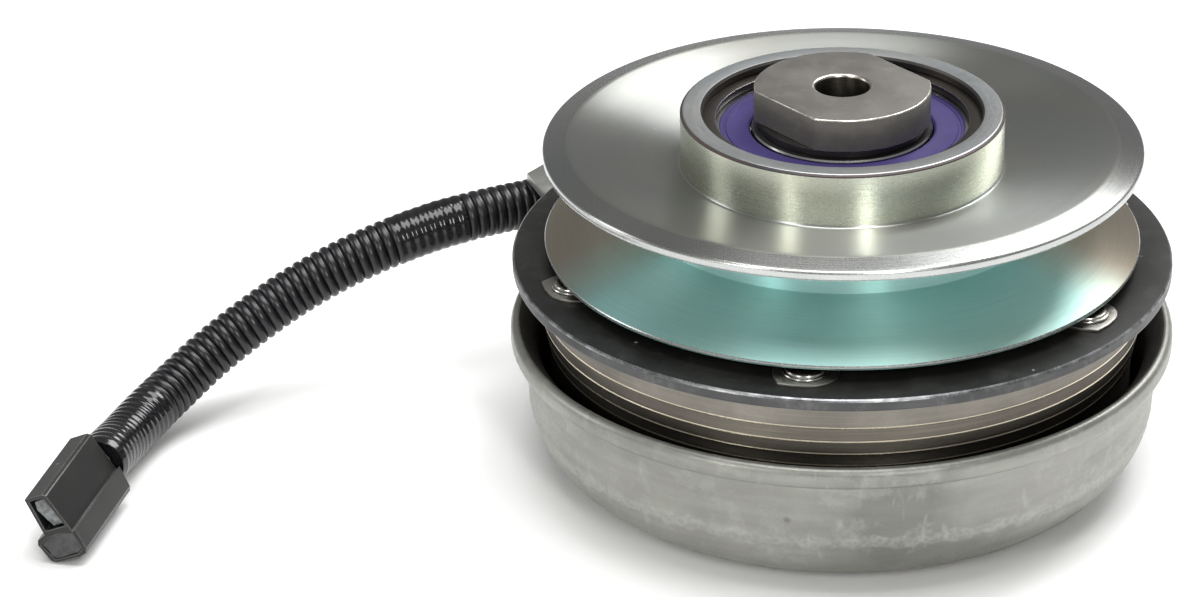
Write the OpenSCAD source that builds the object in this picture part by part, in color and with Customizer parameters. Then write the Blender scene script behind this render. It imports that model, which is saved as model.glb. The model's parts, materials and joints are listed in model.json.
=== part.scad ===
// Electromagnetic clutch with a V-belt pulley, a drawn field housing and a sheathed lead.
// The clutch stands on its housing: +Z is the axis, z = 0 is the underside of the housing.

/* [Drive sleeve] */
// Radius of the crankshaft bore
shaft_bore_r = 12.7; // [10:0.1:13]
// Outer radius of the sleeve, the bore of both bearings
sleeve_r = 17.5; // [17.5:0.5:18]
// Radius of the through-bolt hole
bolt_hole_r = 7; // [5:0.5:8]
// Height where the wide shaft bore ends
shaft_bore_top = 88; // [80:1:90]
// Top of the sleeve, where the wrench boss sits
sleeve_top = 95.3; // [95:0.1:96]
// Height of the top of the wrench boss
boss_top = 104.1; // [102:0.1:110]
// Radius of the wrench boss
boss_r = 22.7; // [21:0.1:24]
// Distance from the axis to each of the two flats
flat_half = 19.5; // [17:0.1:20]

/* [Pulley] */
// Radius of the pulley rim
rim_r = 77.5; // [75:0.5:80]
// Height of the upper rim's top edge
upper_rim_z = 88.7; // [88:0.1:90]
// Height of the lower rim's top edge
lower_rim_z = 63.3; // [63:0.1:65]
// Radius at the bottom of the belt groove
groove_root_r = 54; // [50:1:58]
// Slope of each belt groove wall, in degrees
groove_slope = 18; // [17:0.5:20]
// Radius of the hub
hub_r = 41.8; // [41.8:0.1:43]
// Height of the top of the hub
hub_top = 97.7; // [97:0.1:99]

/* [Armature and rotor] */
// Radius of the armature plate
armature_r = 86.1; // [84:0.1:88]
// Top of the armature plate
armature_top = 58.7; // [58:0.1:59]
// Thickness of the armature plate
armature_t = 3.3; // [3:0.1:3.5]
// Air gap between armature and rotor, with the coil off
air_gap = 0.5; // [0.3:0.1:0.8]
// Radius of the rotor's pole face
rotor_r = 79.4; // [78:0.1:79.6]

/* [Field housing] */
// Radius of the housing wall at its upper end
housing_r = 83.9; // [83.5:0.1:84.5]
// Radius of the lip around the mouth
lip_r = 87.2; // [86.5:0.1:88]
// Height of the lip
housing_h = 39.6; // [38:0.1:41]
// Radius of the rounded bottom corner
corner_r = 20; // [18:1:22]
// Thickness of the drawn steel
housing_wall = 3.7; // [3:0.1:4]

/* [Lead] */
// Outside radius of the ribbed loom
loom_r = 7; // [5:0.5:7]
// Radius of one insulated wire
wire_r = 1.1; // [0.8:0.1:1.4]

/* [Hidden] */
$fn = 96;

groove_rise = tan(groove_slope);
upper_wall_edge_z = upper_rim_z - 2.8;
flange_floor = lower_rim_z - 1.4;
root_bottom = lower_rim_z + (rim_r - groove_root_r) * groove_rise;
root_top = upper_wall_edge_z - (rim_r - 1 - groove_root_r) * groove_rise;
armature_floor = armature_top - armature_t;
rotor_top = armature_floor - air_gap;
rotor_floor = 47;
spring_angles = [-157.6, -96.4, -33, 22.4, 83.6, 147];
rivet_ring_r = 73.6;
inner_rivet_r = 57.5;
inner_rivet_top = flange_floor + 4.3;
spring_t = 0.8;

// Pulley bearing, 35 x 72 x 17
pb_top = 93.2;
pb_h = 17;
pb_outer_r = 36;
pb_inner_shoulder = 23.4;
pb_outer_shoulder = 31.5;
pb_pitch_r = 26.75;
pb_ball_r = 5.55;
pb_balls = 9;

// Field bearing, 35 x 62 x 14
fb_top = 20;
fb_h = 14;
fb_outer_r = 31;
fb_inner_shoulder = 21.4;
fb_outer_shoulder = 27.2;
fb_pitch_r = 24.25;
fb_ball_r = 4.3;
fb_balls = 10;

// Field parts
core_r = 36;
core_top = 44;
core_bore_r = 30;
coil_r = 70;
coil_bottom = 7;
coil_top = 43;

// Lead bracket: a lug on the housing lip that holds the anti-rotation slot and covers the loom
lug_top = 54;
lug_t = 2.5;
lug_inner_r = 87.3;
leg_r = 89.7;
lug_outline = [[-87.2, 53.4], [-68.5, 83], [-46, 62], [-60, 30], [-79.5, 36.6]];
lug_mid_angle = 142;
slot_w = 8.5;
slot_angle = 133;
leg_angles = [136, 148];
loom_heading = 210;

// Route of the ribbed loom from the boot to the connector
loom_path = [
  [-78.4, 59.6, 44.1], [-83.4, 57, 44.1], [-88.6, 54.2, 44.1], [-95.4, 50.5, 44.1], [-102.4, 46.9, 43.8],
  [-113.3, 42, 42.4], [-125.9, 36.3, 39.5], [-138.3, 30.9, 35.3], [-150.2, 25.4, 30], [-161.1, 19, 24.2],
  [-171.5, 12.3, 17.8], [-180.1, 4.4, 12], [-186.8, -6.5, 8.6], [-190.6, -19, 8], [-192.3, -30, 9.6],
  [-193.2, -38.2, 10.6]
];
wrap_one = [[-105.1, 45.7, 43.5], [-113.3, 42, 42.4], [-122, 38.1, 40.5]];
wrap_two = [[-184.2, -2.3, 9.8], [-186.8, -6.5, 8.6], [-190.6, -19, 8], [-192.3, -30, 9.6],
            [-193, -36.5, 10.4]];
wire_path = [
  [-75, 61.6, 44.1], [-69, 65.2, 44], [-64.6, 68.4, 43], [-60.8, 71.8, 39.5], [-58.6, 74.6, 34],
  [-57.2, 73, 27.5], [-54.2, 69.4, 23.8], [-50.5, 64.6, 23], [-46.2, 59.1, 20.8], [-42.6, 54.5, 20]
];
wire_gap = 1.5;
grommet_angle = 128;
grommet_z = 23;

// Connector: two lobes on a shared wall, rolled over on the ground
plug_front = [-201.4, -70.6, 8.9];
plug_heading = 81;
plug_roll = -24;
plug_len = 33;
shell_outline = [
  [0.3, 10.1], [-5, 10], [-5.9, 9.3], [-7.7, -2], [-8.9, -1.5], [-8.8, -7.8], [-8.1, -9], [-6.1, -9.4],
  [1.2, -8.9], [2.2, -8.1], [3.4, -2.8], [2.7, -1.5], [0.2, -0.7]
];
cavity_outline = [[-0.7, 9.1], [-4.8, 9], [-6.6, 0], [-0.8, 0.2]];
recess_outline = [[-7.4, -2.6], [-8, -7.3], [-5.9, -8.4], [0.9, -8.1], [2.5, -3.1], [0.2, -1.9], [-4, -1.6]];
blade_outline = [[-1.7, 8.4], [-4.4, 8.5], [-6.1, 0.5], [-3.1, 0.5], [-2.2, 2.7], [-1.1, 5.7], [-1.2, 7]];
cavity_depth = 13;
recess_depth = 6;

// ---- shared shapes ----
module tube(r_out, r_in, z0, z1) {
  translate([0, 0, z0])
    difference() {
      cylinder(r = r_out, h = z1 - z0);
      translate([0, 0, -1]) cylinder(r = r_in, h = z1 - z0 + 2);
    }
}

module at_springs(radius) {
  for (a = spring_angles)
    rotate([0, 0, a]) translate([radius, 0, 0]) children();
}

module around(count, radius, first = 0) {
  for (i = [0 : count - 1])
    rotate([0, 0, first + i * 360 / count]) translate([radius, 0, 0]) children();
}

function unit(v) = v / norm(v);
function heading(p, i) = unit(p[min(i + 1, len(p) - 1)] - p[max(i - 1, 0)]);
function sideways(d) = unit(cross(d, [0, 0, 1]));
function lift(d) = cross(sideways(d), d);
function beside(p, gap) = [for (i = [0 : len(p) - 1]) p[i] + gap * sideways(heading(p, i))];
function ring_points(p, r, sides) = [
  for (i = [0 : len(p) - 1]) for (k = [0 : sides - 1])
    let (d = heading(p, i), a = 360 * k / sides)
      p[i] + r * (cos(a) * sideways(d) + sin(a) * lift(d))
];
function ring_faces(rings, sides) = concat(
  [[for (k = [0 : sides - 1]) k]],
  [for (i = [0 : rings - 2]) for (k = [0 : sides - 1])
    [i * sides + k, (i + 1) * sides + k, (i + 1) * sides + (k + 1) % sides, i * sides + (k + 1) % sides]],
  [[for (k = [sides - 1 : -1 : 0]) (rings - 1) * sides + k]]
);

module swept(path, r, sides = 12) {
  polyhedron(points = ring_points(path, r, sides), faces = ring_faces(len(path), sides));
}

// One ring of a bearing with a ball track cut in it
module race(r_out, r_in, top, h, pitch_r, ball_r) {
  difference() {
    tube(r_out, r_in, top - h, top);
    translate([0, 0, top - h / 2])
      rotate_extrude() translate([pitch_r, 0]) circle(r = ball_r + 0.05, $fn = 48);
  }
}

module ball_set(count, pitch_r, ball_r, z) {
  around(count, pitch_r) translate([0, 0, z]) sphere(r = ball_r, $fn = 48);
}

module ball_cage(count, pitch_r, ball_r, z) {
  difference() {
    tube(pitch_r + 1, pitch_r - 1, z - ball_r * 0.62, z + ball_r * 0.62);
    around(count, pitch_r) translate([-4, 0, z]) rotate([0, 90, 0]) cylinder(r = ball_r + 0.15, h = 8);
  }
}

module seal(r_out, r_in, z) {
  tube(r_out, r_in, z, z + 0.9);
}

// ---- drive side ----
module drive_sleeve() {
  color("dimgray")
    difference() {
      union() {
        cylinder(r = sleeve_r, h = sleeve_top);
        translate([0, 0, fb_top]) cylinder(r = 20.6, h = 4);
        translate([0, 0, 38]) cylinder(r = 23.5, h = rotor_floor - 38);
      }
      translate([0, 0, -1]) cylinder(r = shaft_bore_r, h = shaft_bore_top + 1);
      cylinder(r = bolt_hole_r, h = sleeve_top + 1);
      translate([0, -3.2, -1]) cube([15.5, 6.4, 61]);
      tube(sleeve_r + 5, 16.4, 4.3, 5.9);
      translate([sleeve_r - 2.5, -3, rotor_floor + 0.5]) cube([5, 6, 7]);
    }
}

// The rotor cup: pole face, stepped outer wall and inner pole sleeve
module rotor() {
  step_z = [47.1, 42.9, 39.3, 35.7];
  step_r = [rotor_r, 78.7, 78, 77.3, 76.6];
  color("gray")
    difference() {
      rotate_extrude()
        polygon([
          [sleeve_r, rotor_floor], [24, rotor_floor], [24, 24], [29.4, 24], [29.4, rotor_floor],
          [73, rotor_floor], [73, 24], [step_r[4], 24], [step_r[4], step_z[3] - 0.5],
          [step_r[3], step_z[3]], [step_r[3], step_z[2] - 0.5], [step_r[2], step_z[2]],
          [step_r[2], step_z[1] - 0.5], [step_r[1], step_z[1]], [step_r[1], step_z[0] - 0.5],
          [step_r[0], step_z[0]], [rotor_r, rotor_top - 1], [rotor_r - 1, rotor_top],
          [sleeve_r, rotor_top]
        ]);
      tube(70.5, 64.5, rotor_top - 2.4, rotor_top + 1);
      around(3, 0) flux_slots(60, 3);
      around(3, 0, 60) flux_slots(47, 3);
      translate([0, -3, rotor_floor + 0.5]) cube([sleeve_r + 2.5, 6, 7]);
    }
}

// A pair of curved slots that keep the pole rings magnetically apart
module flux_slots(radius, width) {
  intersection() {
    tube(radius + width / 2, radius - width / 2, rotor_floor - 1, rotor_top + 1);
    linear_extrude(height = 100)
      polygon([[0, 0], [90, -60], [90, 60]]);
  }
}

module friction_lining() {
  color("saddlebrown") tube(70.5, 64.5, rotor_top - 2.4, rotor_top);
}

module rotor_key() {
  color("silver")
    translate([sleeve_r - 2.5, -3, rotor_floor + 0.5]) cube([5, 6, 7]);
}

module spacer_tube() {
  color("gray") tube(20.5, sleeve_r, rotor_top, pb_top - pb_h);
}

module top_spacer() {
  color("dimgray") tube(21.5, sleeve_r, pb_top, sleeve_top);
}

module wrench_boss() {
  color([0.42, 0.4, 0.38])
    difference() {
      intersection() {
        rotate_extrude()
          polygon([
            [0, sleeve_top], [boss_r - 0.4, sleeve_top], [boss_r, sleeve_top + 0.4],
            [boss_r, boss_top - 0.5], [boss_r - 0.5, boss_top], [0, boss_top]
          ]);
        rotate([0, 0, 41])
          translate([-flat_half, -30, sleeve_top - 1]) cube([2 * flat_half, 60, 20]);
      }
      translate([0, 0, sleeve_top - 1]) cylinder(r = bolt_hole_r, h = 20);
      translate([0, 0, boss_top - 0.85]) cylinder(r1 = bolt_hole_r, r2 = bolt_hole_r + 0.86, h = 0.86);
    }
}

// ---- pulley ----
module pulley_hub() {
  seat_floor = pb_top - pb_h;
  color([0.62, 0.68, 0.64])
    rotate_extrude()
      polygon([
        [33, flange_floor], [hub_r, flange_floor], [hub_r, hub_top - 0.5], [hub_r - 0.7, hub_top],
        [36.4, hub_top], [pb_outer_r, hub_top - 0.6], [pb_outer_r, pb_top + 2.2],
        [37.6, pb_top + 2.2], [37.6, pb_top], [pb_outer_r, pb_top],
        [pb_outer_r, seat_floor], [33, seat_floor]
      ]);
}

module pulley_upper_flange() {
  color([0.6, 0.64, 0.64])
    rotate_extrude()
      polygon([
        [hub_r, root_top], [groove_root_r, root_top], [rim_r - 1, upper_wall_edge_z],
        [rim_r - 0.3, upper_wall_edge_z + 0.3], [rim_r, upper_wall_edge_z + 1],
        [rim_r, upper_rim_z - 0.7], [rim_r - 0.6, upper_rim_z], [71.4, upper_rim_z + 1],
        [44, 83.7], [hub_r + 0.8, 83.9], [hub_r, 84.7]
      ]);
}

module groove_spacer() {
  color([0.5, 0.55, 0.53]) tube(groove_root_r, hub_r, root_bottom, root_top);
}

module pulley_lower_flange() {
  color([0.4, 0.6, 0.58])
    difference() {
      rotate_extrude()
        polygon([
          [hub_r, flange_floor], [rim_r - 0.5, flange_floor], [rim_r, flange_floor + 0.5],
          [rim_r, lower_rim_z], [groove_root_r, root_bottom], [hub_r, root_bottom]
        ]);
      at_springs(inner_rivet_r)
        translate([0, 0, flange_floor - 1]) cylinder(r = 2.6, h = inner_rivet_top - flange_floor + 1);
    }
}

module hub_snap_ring() {
  color([0.2, 0.19, 0.18])
    difference() {
      tube(37.5, 32.7, pb_top + 0.1, pb_top + 2);
      rotate([0, 0, 80]) translate([30, -4, pb_top - 1]) cube([10, 8, 5]);
    }
}

module pulley_outer_race() {
  color("silver") race(pb_outer_r, pb_outer_shoulder, pb_top, pb_h, pb_pitch_r, pb_ball_r);
}

module pulley_inner_race() {
  color("silver") race(pb_inner_shoulder, sleeve_r, pb_top, pb_h, pb_pitch_r, pb_ball_r);
}

module pulley_seal_upper() {
  color([0.36, 0.3, 0.6]) seal(pb_outer_shoulder, pb_inner_shoulder + 0.3, pb_top - 1.4);
}

module pulley_seal_lower() {
  color([0.36, 0.3, 0.6]) seal(pb_outer_shoulder, pb_inner_shoulder + 0.3, pb_top - pb_h + 0.5);
}

module pulley_balls() {
  color("white") ball_set(pb_balls, pb_pitch_r, pb_ball_r, pb_top - pb_h / 2);
}

module pulley_cage() {
  color("goldenrod") ball_cage(pb_balls, pb_pitch_r, pb_ball_r, pb_top - pb_h / 2);
}

// ---- armature and its springs ----
// One leaf: a flat end on the armature, a step up, and a flat end under the pulley flange
module leaf() {
  leaf_w = 16.4;
  tip = 81.5;
  low = armature_top;
  high = flange_floor - spring_t;
  intersection() {
    rotate([90, 0, 0])
      translate([0, 0, -leaf_w / 2])
        linear_extrude(height = leaf_w)
          polygon([
            [tip, low], [tip, low + spring_t], [65, low + spring_t], [62.5, high + spring_t],
            [52.5, high + spring_t], [52.5, high], [62.2, high], [64.7, low]
          ]);
    linear_extrude(height = 100)
      polygon([
        [52, -6], [60, -leaf_w / 2], [73.2, -leaf_w / 2], [76.4, -7.6], [80.4, -5.9], [80.9, -2],
        [80.8, 1.2], [80.3, 3.6], [79.1, 5.7], [77.3, 7.3], [75, leaf_w / 2], [60, leaf_w / 2], [52, 6]
      ]);
  }
}

module leaf_springs() {
  color([0.36, 0.34, 0.3])
    at_springs(0)
      difference() {
        leaf();
        translate([rivet_ring_r, 0, 50]) cylinder(r = 3.2, h = 20);
        translate([inner_rivet_r, 0, 50]) cylinder(r = 2.6, h = 20);
      }
}

module armature_rivets() {
  seat = armature_top + spring_t;
  color([0.55, 0.53, 0.5])
    at_springs(rivet_ring_r) {
      translate([0, 0, armature_floor + 0.4]) cylinder(r = 3.2, h = seat - armature_floor);
      translate([0, 0, seat]) cylinder(r = 5.7, h = 0.7);
      translate([0, 0, seat + 0.7]) cylinder(r1 = 5.1, r2 = 4.6, h = 0.7);
    }
}

module spring_rivets() {
  head_floor = flange_floor - spring_t - 0.9;
  color([0.5, 0.5, 0.48])
    at_springs(inner_rivet_r) {
      translate([0, 0, head_floor]) cylinder(r = 4, h = 0.9);
      translate([0, 0, head_floor]) cylinder(r = 2.6, h = inner_rivet_top - head_floor);
    }
}

module armature_plate() {
  color([0.22, 0.22, 0.22])
    difference() {
      rotate_extrude()
        polygon([
          [46, armature_floor], [armature_r - 0.4, armature_floor], [armature_r, armature_floor + 0.4],
          [armature_r, armature_top - 0.5], [armature_r - 0.5, armature_top], [46, armature_top]
        ]);
      at_springs(rivet_ring_r)
        translate([0, 0, armature_floor - 1]) cylinder(r = 3.2, h = 10);
    }
}

// ---- field side ----
module field_housing() {
  floor_r = housing_r - 1 - corner_r;
  arc = [for (a = [-90 : 7.5 : 0]) [floor_r + corner_r * cos(a), corner_r + corner_r * sin(a)]];
  inner_r = corner_r - housing_wall;
  inner_arc = [for (a = [0 : -7.5 : -90]) [floor_r + inner_r * cos(a), corner_r + inner_r * sin(a)]];
  color([0.66, 0.66, 0.64])
    difference() {
      rotate_extrude()
        polygon(concat(
          [[core_r, 0]], arc,
          [[housing_r, 33.8], [lip_r - 0.8, 34], [lip_r, 35], [lip_r, housing_h - 1.6],
           [lip_r - 0.5, housing_h - 0.5], [lip_r - 1.6, housing_h], [lip_r - 2.3, housing_h],
           [lip_r - 4.6, housing_h - 2.8], [80.4, 34]],
          inner_arc, [[core_r, housing_wall]]
        ));
      rotate([0, 0, grommet_angle]) translate([70, 0, grommet_z]) rotate([0, 90, 0]) cylinder(r = 4, h = 20);
      lip_holes();
    }
}

module lip_holes() {
  for (a = leg_angles)
    rotate([0, 0, a + (a < lug_mid_angle ? 2.5 : -2.5)])
      translate([78, 0, 36.8]) rotate([0, 90, 0]) cylinder(r = 1.6, h = 16);
}

module field_core() {
  color("gray")
    rotate_extrude()
      polygon([
        [fb_outer_r, 0.3], [core_r, 0.3], [core_r, core_top], [core_bore_r, core_top],
        [core_bore_r, 23], [28, 23], [28, fb_top], [fb_outer_r, fb_top],
        [fb_outer_r, 6], [32.4, 6], [32.4, 4.3], [fb_outer_r, 4.3]
      ]);
}

module coil_bobbin() {
  color([0.15, 0.15, 0.16])
    rotate_extrude()
      polygon([
        [core_r + 0.5, coil_bottom], [coil_r, coil_bottom], [coil_r, coil_bottom + 1.5],
        [core_r + 2, coil_bottom + 1.5], [core_r + 2, coil_top - 1.5], [coil_r, coil_top - 1.5],
        [coil_r, coil_top], [core_r + 0.5, coil_top]
      ]);
}

module coil_winding() {
  color([0.72, 0.42, 0.2]) tube(coil_r - 2.5, core_r + 2, coil_bottom + 1.5, coil_top - 1.5);
}

module coil_potting() {
  color([0.2, 0.18, 0.16])
    difference() {
      union() {
        tube(62, core_r + 0.5, housing_wall, coil_bottom);
        tube(coil_r, coil_r - 2.5, coil_bottom + 1.5, coil_top - 1.5);
      }
      rotate([0, 0, grommet_angle]) translate([60, 0, grommet_z]) rotate([0, 90, 0]) cylinder(r = 4, h = 20);
    }
}

module field_outer_race() {
  color("silver") race(fb_outer_r, fb_outer_shoulder, fb_top, fb_h, fb_pitch_r, fb_ball_r);
}

module field_inner_race() {
  color("silver") race(fb_inner_shoulder, sleeve_r, fb_top, fb_h, fb_pitch_r, fb_ball_r);
}

module field_seal_upper() {
  color([0.36, 0.3, 0.6]) seal(fb_outer_shoulder, fb_inner_shoulder + 0.3, fb_top - 1.3);
}

module field_seal_lower() {
  color([0.36, 0.3, 0.6]) seal(fb_outer_shoulder, fb_inner_shoulder + 0.3, fb_top - fb_h + 0.4);
}

module field_balls() {
  color("white") ball_set(fb_balls, fb_pitch_r, fb_ball_r, fb_top - fb_h / 2);
}

module field_cage() {
  color("goldenrod") ball_cage(fb_balls, fb_pitch_r, fb_ball_r, fb_top - fb_h / 2);
}

module core_snap_ring() {
  color([0.2, 0.19, 0.18])
    difference() {
      tube(32.3, 28.6, 4.4, 5.9);
      translate([25, -4, 3]) cube([10, 8, 5]);
    }
}

module sleeve_snap_ring() {
  color([0.2, 0.19, 0.18])
    difference() {
      tube(20.2, 16.4, 4.35, 5.85);
      translate([-22, -4, 3]) cube([10, 8, 5]);
    }
}

// ---- lead ----
module lead_bracket() {
  color([0.6, 0.6, 0.58])
    difference() {
      union() {
        difference() {
          translate([0, 0, lug_top - lug_t]) linear_extrude(height = lug_t) polygon(lug_outline);
          cylinder(r = lug_inner_r, h = 60);
        }
        intersection() {
          tube(leg_r, lip_r, 34.4, lug_top - lug_t);
          linear_extrude(height = 60)
            polygon([[0, 0], for (a = leg_angles) [110 * cos(a), 110 * sin(a)]]);
        }
      }
      rotate([0, 0, slot_angle]) translate([96, 0, lug_top - lug_t - 1]) {
        cylinder(r = slot_w / 2, h = lug_t + 2);
        translate([0, -slot_w / 2, 0]) cube([20, slot_w, lug_t + 2]);
      }
      lip_holes();
    }
}

module bracket_rivets() {
  color([0.5, 0.5, 0.48])
    for (a = leg_angles)
      rotate([0, 0, a + (a < lug_mid_angle ? 2.5 : -2.5)])
        translate([0, 0, 36.8]) rotate([0, 90, 0]) {
          translate([0, 0, 84]) cylinder(r = 1.6, h = 6.5);
          translate([0, 0, leg_r]) cylinder(r1 = 3.2, r2 = 2.4, h = 1.5);
        }
}

module wall_grommet() {
  color([0.12, 0.12, 0.12])
    rotate([0, 0, grommet_angle])
      translate([0, 0, grommet_z]) rotate([0, 90, 0]) {
        translate([0, 0, 79.8]) cylinder(r = 4, h = 6);
        translate([0, 0, 84.4]) cylinder(r1 = 5.6, r2 = 4.6, h = 2.4);
      }
}

// Rubber boot that closes the inner end of the loom
module loom_boot() {
  color([0.12, 0.12, 0.12])
    translate(loom_path[0])
      rotate([0, 90, loom_heading + 180]) {
        cylinder(r1 = 6.2, r2 = 5.2, h = 5);
        translate([0, 0, 5]) cylinder(r1 = 5.2, r2 = 3.4, h = 7);
      }
}

module lead_wires() {
  color([0.1, 0.1, 0.1])
    for (side = [-wire_gap, wire_gap])
      swept(beside(wire_path, side), wire_r, 8);
}

module cable_loom() {
  color([0.09, 0.09, 0.1]) swept(loom_path, loom_r, 12);
}

module tape_wraps() {
  color([0.07, 0.07, 0.08]) {
    swept(wrap_one, loom_r + 0.3, 12);
    swept(wrap_two, loom_r + 0.3, 12);
  }
}

// Places its children in the connector's own frame: X across, Y up, Z from the mating end to the loom
module in_connector() {
  translate(plug_front)
    rotate([0, 0, plug_heading]) rotate([90, 0, 90]) rotate([0, 0, plug_roll])
      children();
}

module connector_housing() {
  color([0.13, 0.13, 0.13])
    in_connector()
      difference() {
        linear_extrude(height = plug_len) polygon(shell_outline);
        translate([0, 0, -1]) linear_extrude(height = cavity_depth + 1) polygon(cavity_outline);
        translate([0, 0, -1]) linear_extrude(height = recess_depth + 1) polygon(recess_outline);
        translate([-3.7, 1, plug_len - 8]) cylinder(r = 3.4, h = 10);
      }
}

module connector_blades() {
  color([0.6, 0.62, 0.64])
    in_connector() {
      translate([0, 0, 0.8]) linear_extrude(height = cavity_depth - 0.8) polygon(blade_outline);
      translate([-6, -5.2, 4.4]) cube([6.4, 0.8, 1.6]);
    }
}

module connector_potting() {
  color([0.18, 0.18, 0.18])
    in_connector()
      translate([0, 0, 0.4]) linear_extrude(height = 4) polygon(recess_outline);
}

module connector_end_seal() {
  color([0.1, 0.1, 0.1])
    in_connector() translate([-3.7, 1, plug_len - 8]) cylinder(r = 3.4, h = 7.5);
}

drive_sleeve();
rotor();
friction_lining();
rotor_key();
spacer_tube();
top_spacer();
wrench_boss();
pulley_hub();
pulley_upper_flange();
groove_spacer();
pulley_lower_flange();
hub_snap_ring();
pulley_outer_race();
pulley_inner_race();
pulley_seal_upper();
pulley_seal_lower();
pulley_balls();
pulley_cage();
spring_rivets();
leaf_springs();
armature_plate();
armature_rivets();
field_housing();
field_core();
coil_bobbin();
coil_winding();
coil_potting();
field_outer_race();
field_inner_race();
field_seal_upper();
field_seal_lower();
field_balls();
field_cage();
core_snap_ring();
sleeve_snap_ring();
lead_bracket();
bracket_rivets();
wall_grommet();
loom_boot();
lead_wires();
cable_loom();
tape_wraps();
connector_housing();
connector_blades();
connector_potting();
connector_end_seal();
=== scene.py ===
"""Looks of an electromagnetic clutch: V-belt pulley, armature, rotor, drawn field housing and sheathed lead.

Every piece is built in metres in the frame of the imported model, and rides on one of its bodies.
"""

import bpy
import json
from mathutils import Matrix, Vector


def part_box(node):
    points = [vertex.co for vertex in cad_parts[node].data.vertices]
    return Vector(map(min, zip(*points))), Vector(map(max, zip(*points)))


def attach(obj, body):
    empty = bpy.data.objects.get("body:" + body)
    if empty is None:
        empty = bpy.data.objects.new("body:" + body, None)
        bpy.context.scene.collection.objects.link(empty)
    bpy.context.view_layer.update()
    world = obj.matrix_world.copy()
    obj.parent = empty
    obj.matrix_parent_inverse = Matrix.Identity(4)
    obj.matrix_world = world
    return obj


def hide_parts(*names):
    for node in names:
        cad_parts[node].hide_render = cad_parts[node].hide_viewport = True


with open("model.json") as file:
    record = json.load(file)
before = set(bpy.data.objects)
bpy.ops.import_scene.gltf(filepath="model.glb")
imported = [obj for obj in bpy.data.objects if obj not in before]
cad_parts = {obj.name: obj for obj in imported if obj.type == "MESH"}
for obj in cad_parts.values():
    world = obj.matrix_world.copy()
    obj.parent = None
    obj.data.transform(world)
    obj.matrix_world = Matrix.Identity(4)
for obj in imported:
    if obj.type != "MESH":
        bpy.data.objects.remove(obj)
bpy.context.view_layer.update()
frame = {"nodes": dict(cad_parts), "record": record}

import json
import logging
import math
from collections.abc import Callable
from dataclasses import dataclass, field
from enum import Enum
from functools import partial

import bmesh
import bpy
from mathutils import Matrix, Vector, noise

MM = 0.001
QUARTER_TURN = 0.25
LOG = logging.getLogger("clutch")

Point2 = tuple[float, float]
Colour = tuple[float, float, float]
Piece = bpy.types.Object
Socket = bpy.types.NodeSocket
Node = bpy.types.Node


class Body(str, Enum):
    """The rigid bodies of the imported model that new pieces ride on."""

    FIELD = "field"
    ROTOR = "rotor_group"
    PULLEY = "pulley_group"
    ARMATURE = "armature_group"


# ---------------------------------------------------------------- node building


class Sheet:
    """A node tree with short ways to add nodes and links."""

    def __init__(self, tree: bpy.types.NodeTree) -> None:
        """Keep the tree that nodes are added to.

        Args:
            tree: a material's node tree or a shader node group.
        """
        self.tree = tree

    def add(self, kind: str, settings: dict | None = None, **inputs: object) -> Node:
        """Add one node, set its properties and feed its inputs.

        Args:
            kind: the node's type name.
            settings: properties to set on the node.
            inputs: socket name (spaces as underscores) or i0, i1 for a place, to a value or a socket.

        Returns:
            The new node.
        """
        node = self.tree.nodes.new(kind)
        for key, value in (settings or {}).items():
            setattr(node, key, value)
        for key, value in inputs.items():
            place = int(key[1:]) if key[0] == "i" and key[1:].isdigit() else key.replace("_", " ")
            self.feed(node.inputs[place], value)
        return node

    def feed(self, socket: Socket, value: object) -> None:
        """Link an output socket to an input, or set the input's own value."""
        if isinstance(value, Socket):
            self.tree.links.new(value, socket)
        elif isinstance(value, tuple) and len(value) == 3 and socket.type == "RGBA":
            socket.default_value = (*value, 1.0)
        else:
            socket.default_value = value

    def maths(self, operation: str, first: object, second: object = 0.0, clamp: bool = False) -> Socket:
        """Add a Math node and return its result."""
        node = self.add("ShaderNodeMath", {"operation": operation, "use_clamp": clamp}, i0=first, i1=second)
        return node.outputs[0]

    def mix_colour(self, amount: object, low: object, high: object) -> Socket:
        """Mix two colours by amount and return the colour."""
        node = self.add("ShaderNodeMix", {"data_type": "RGBA", "clamp_factor": True})
        self.feed(node.inputs[0], amount)
        self.feed(node.inputs[6], low)
        self.feed(node.inputs[7], high)
        return node.outputs[2]

    def spread(self, value: object, low: float, high: float, new_low: float, new_high: float) -> Socket:
        """Map value from one range to another, held inside it."""
        node = self.add(
            "ShaderNodeMapRange", {"clamp": True}, Value=value, From_Min=low, From_Max=high,
            To_Min=new_low, To_Max=new_high,
        )
        return node.outputs[0]

    def noise(self, place: Socket, scale: object, detail: float, **inputs: object) -> Socket:
        """Add a Noise Texture read at this place and return its value."""
        node = self.add("ShaderNodeTexNoise", Vector=place, Scale=scale, Detail=detail, **inputs)
        return node.outputs["Fac"]


def new_group(name: str, inputs: dict[str, float], outputs: tuple[str, ...]) -> tuple[Sheet, Node, Node]:
    """Start a shader node group whose sockets are all plain numbers.

    Args:
        name: the group's name.
        inputs: name and default of each input.
        outputs: name of each output.

    Returns:
        The sheet to build in, the group's input node and its output node.
    """
    tree = bpy.data.node_groups.new(name, "ShaderNodeTree")
    for label, default in inputs.items():
        socket = tree.interface.new_socket(label, in_out="INPUT", socket_type="NodeSocketFloat")
        socket.default_value = default
    for label in outputs:
        tree.interface.new_socket(label, in_out="OUTPUT", socket_type="NodeSocketFloat")
    return Sheet(tree), tree.nodes.new("NodeGroupInput"), tree.nodes.new("NodeGroupOutput")


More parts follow.
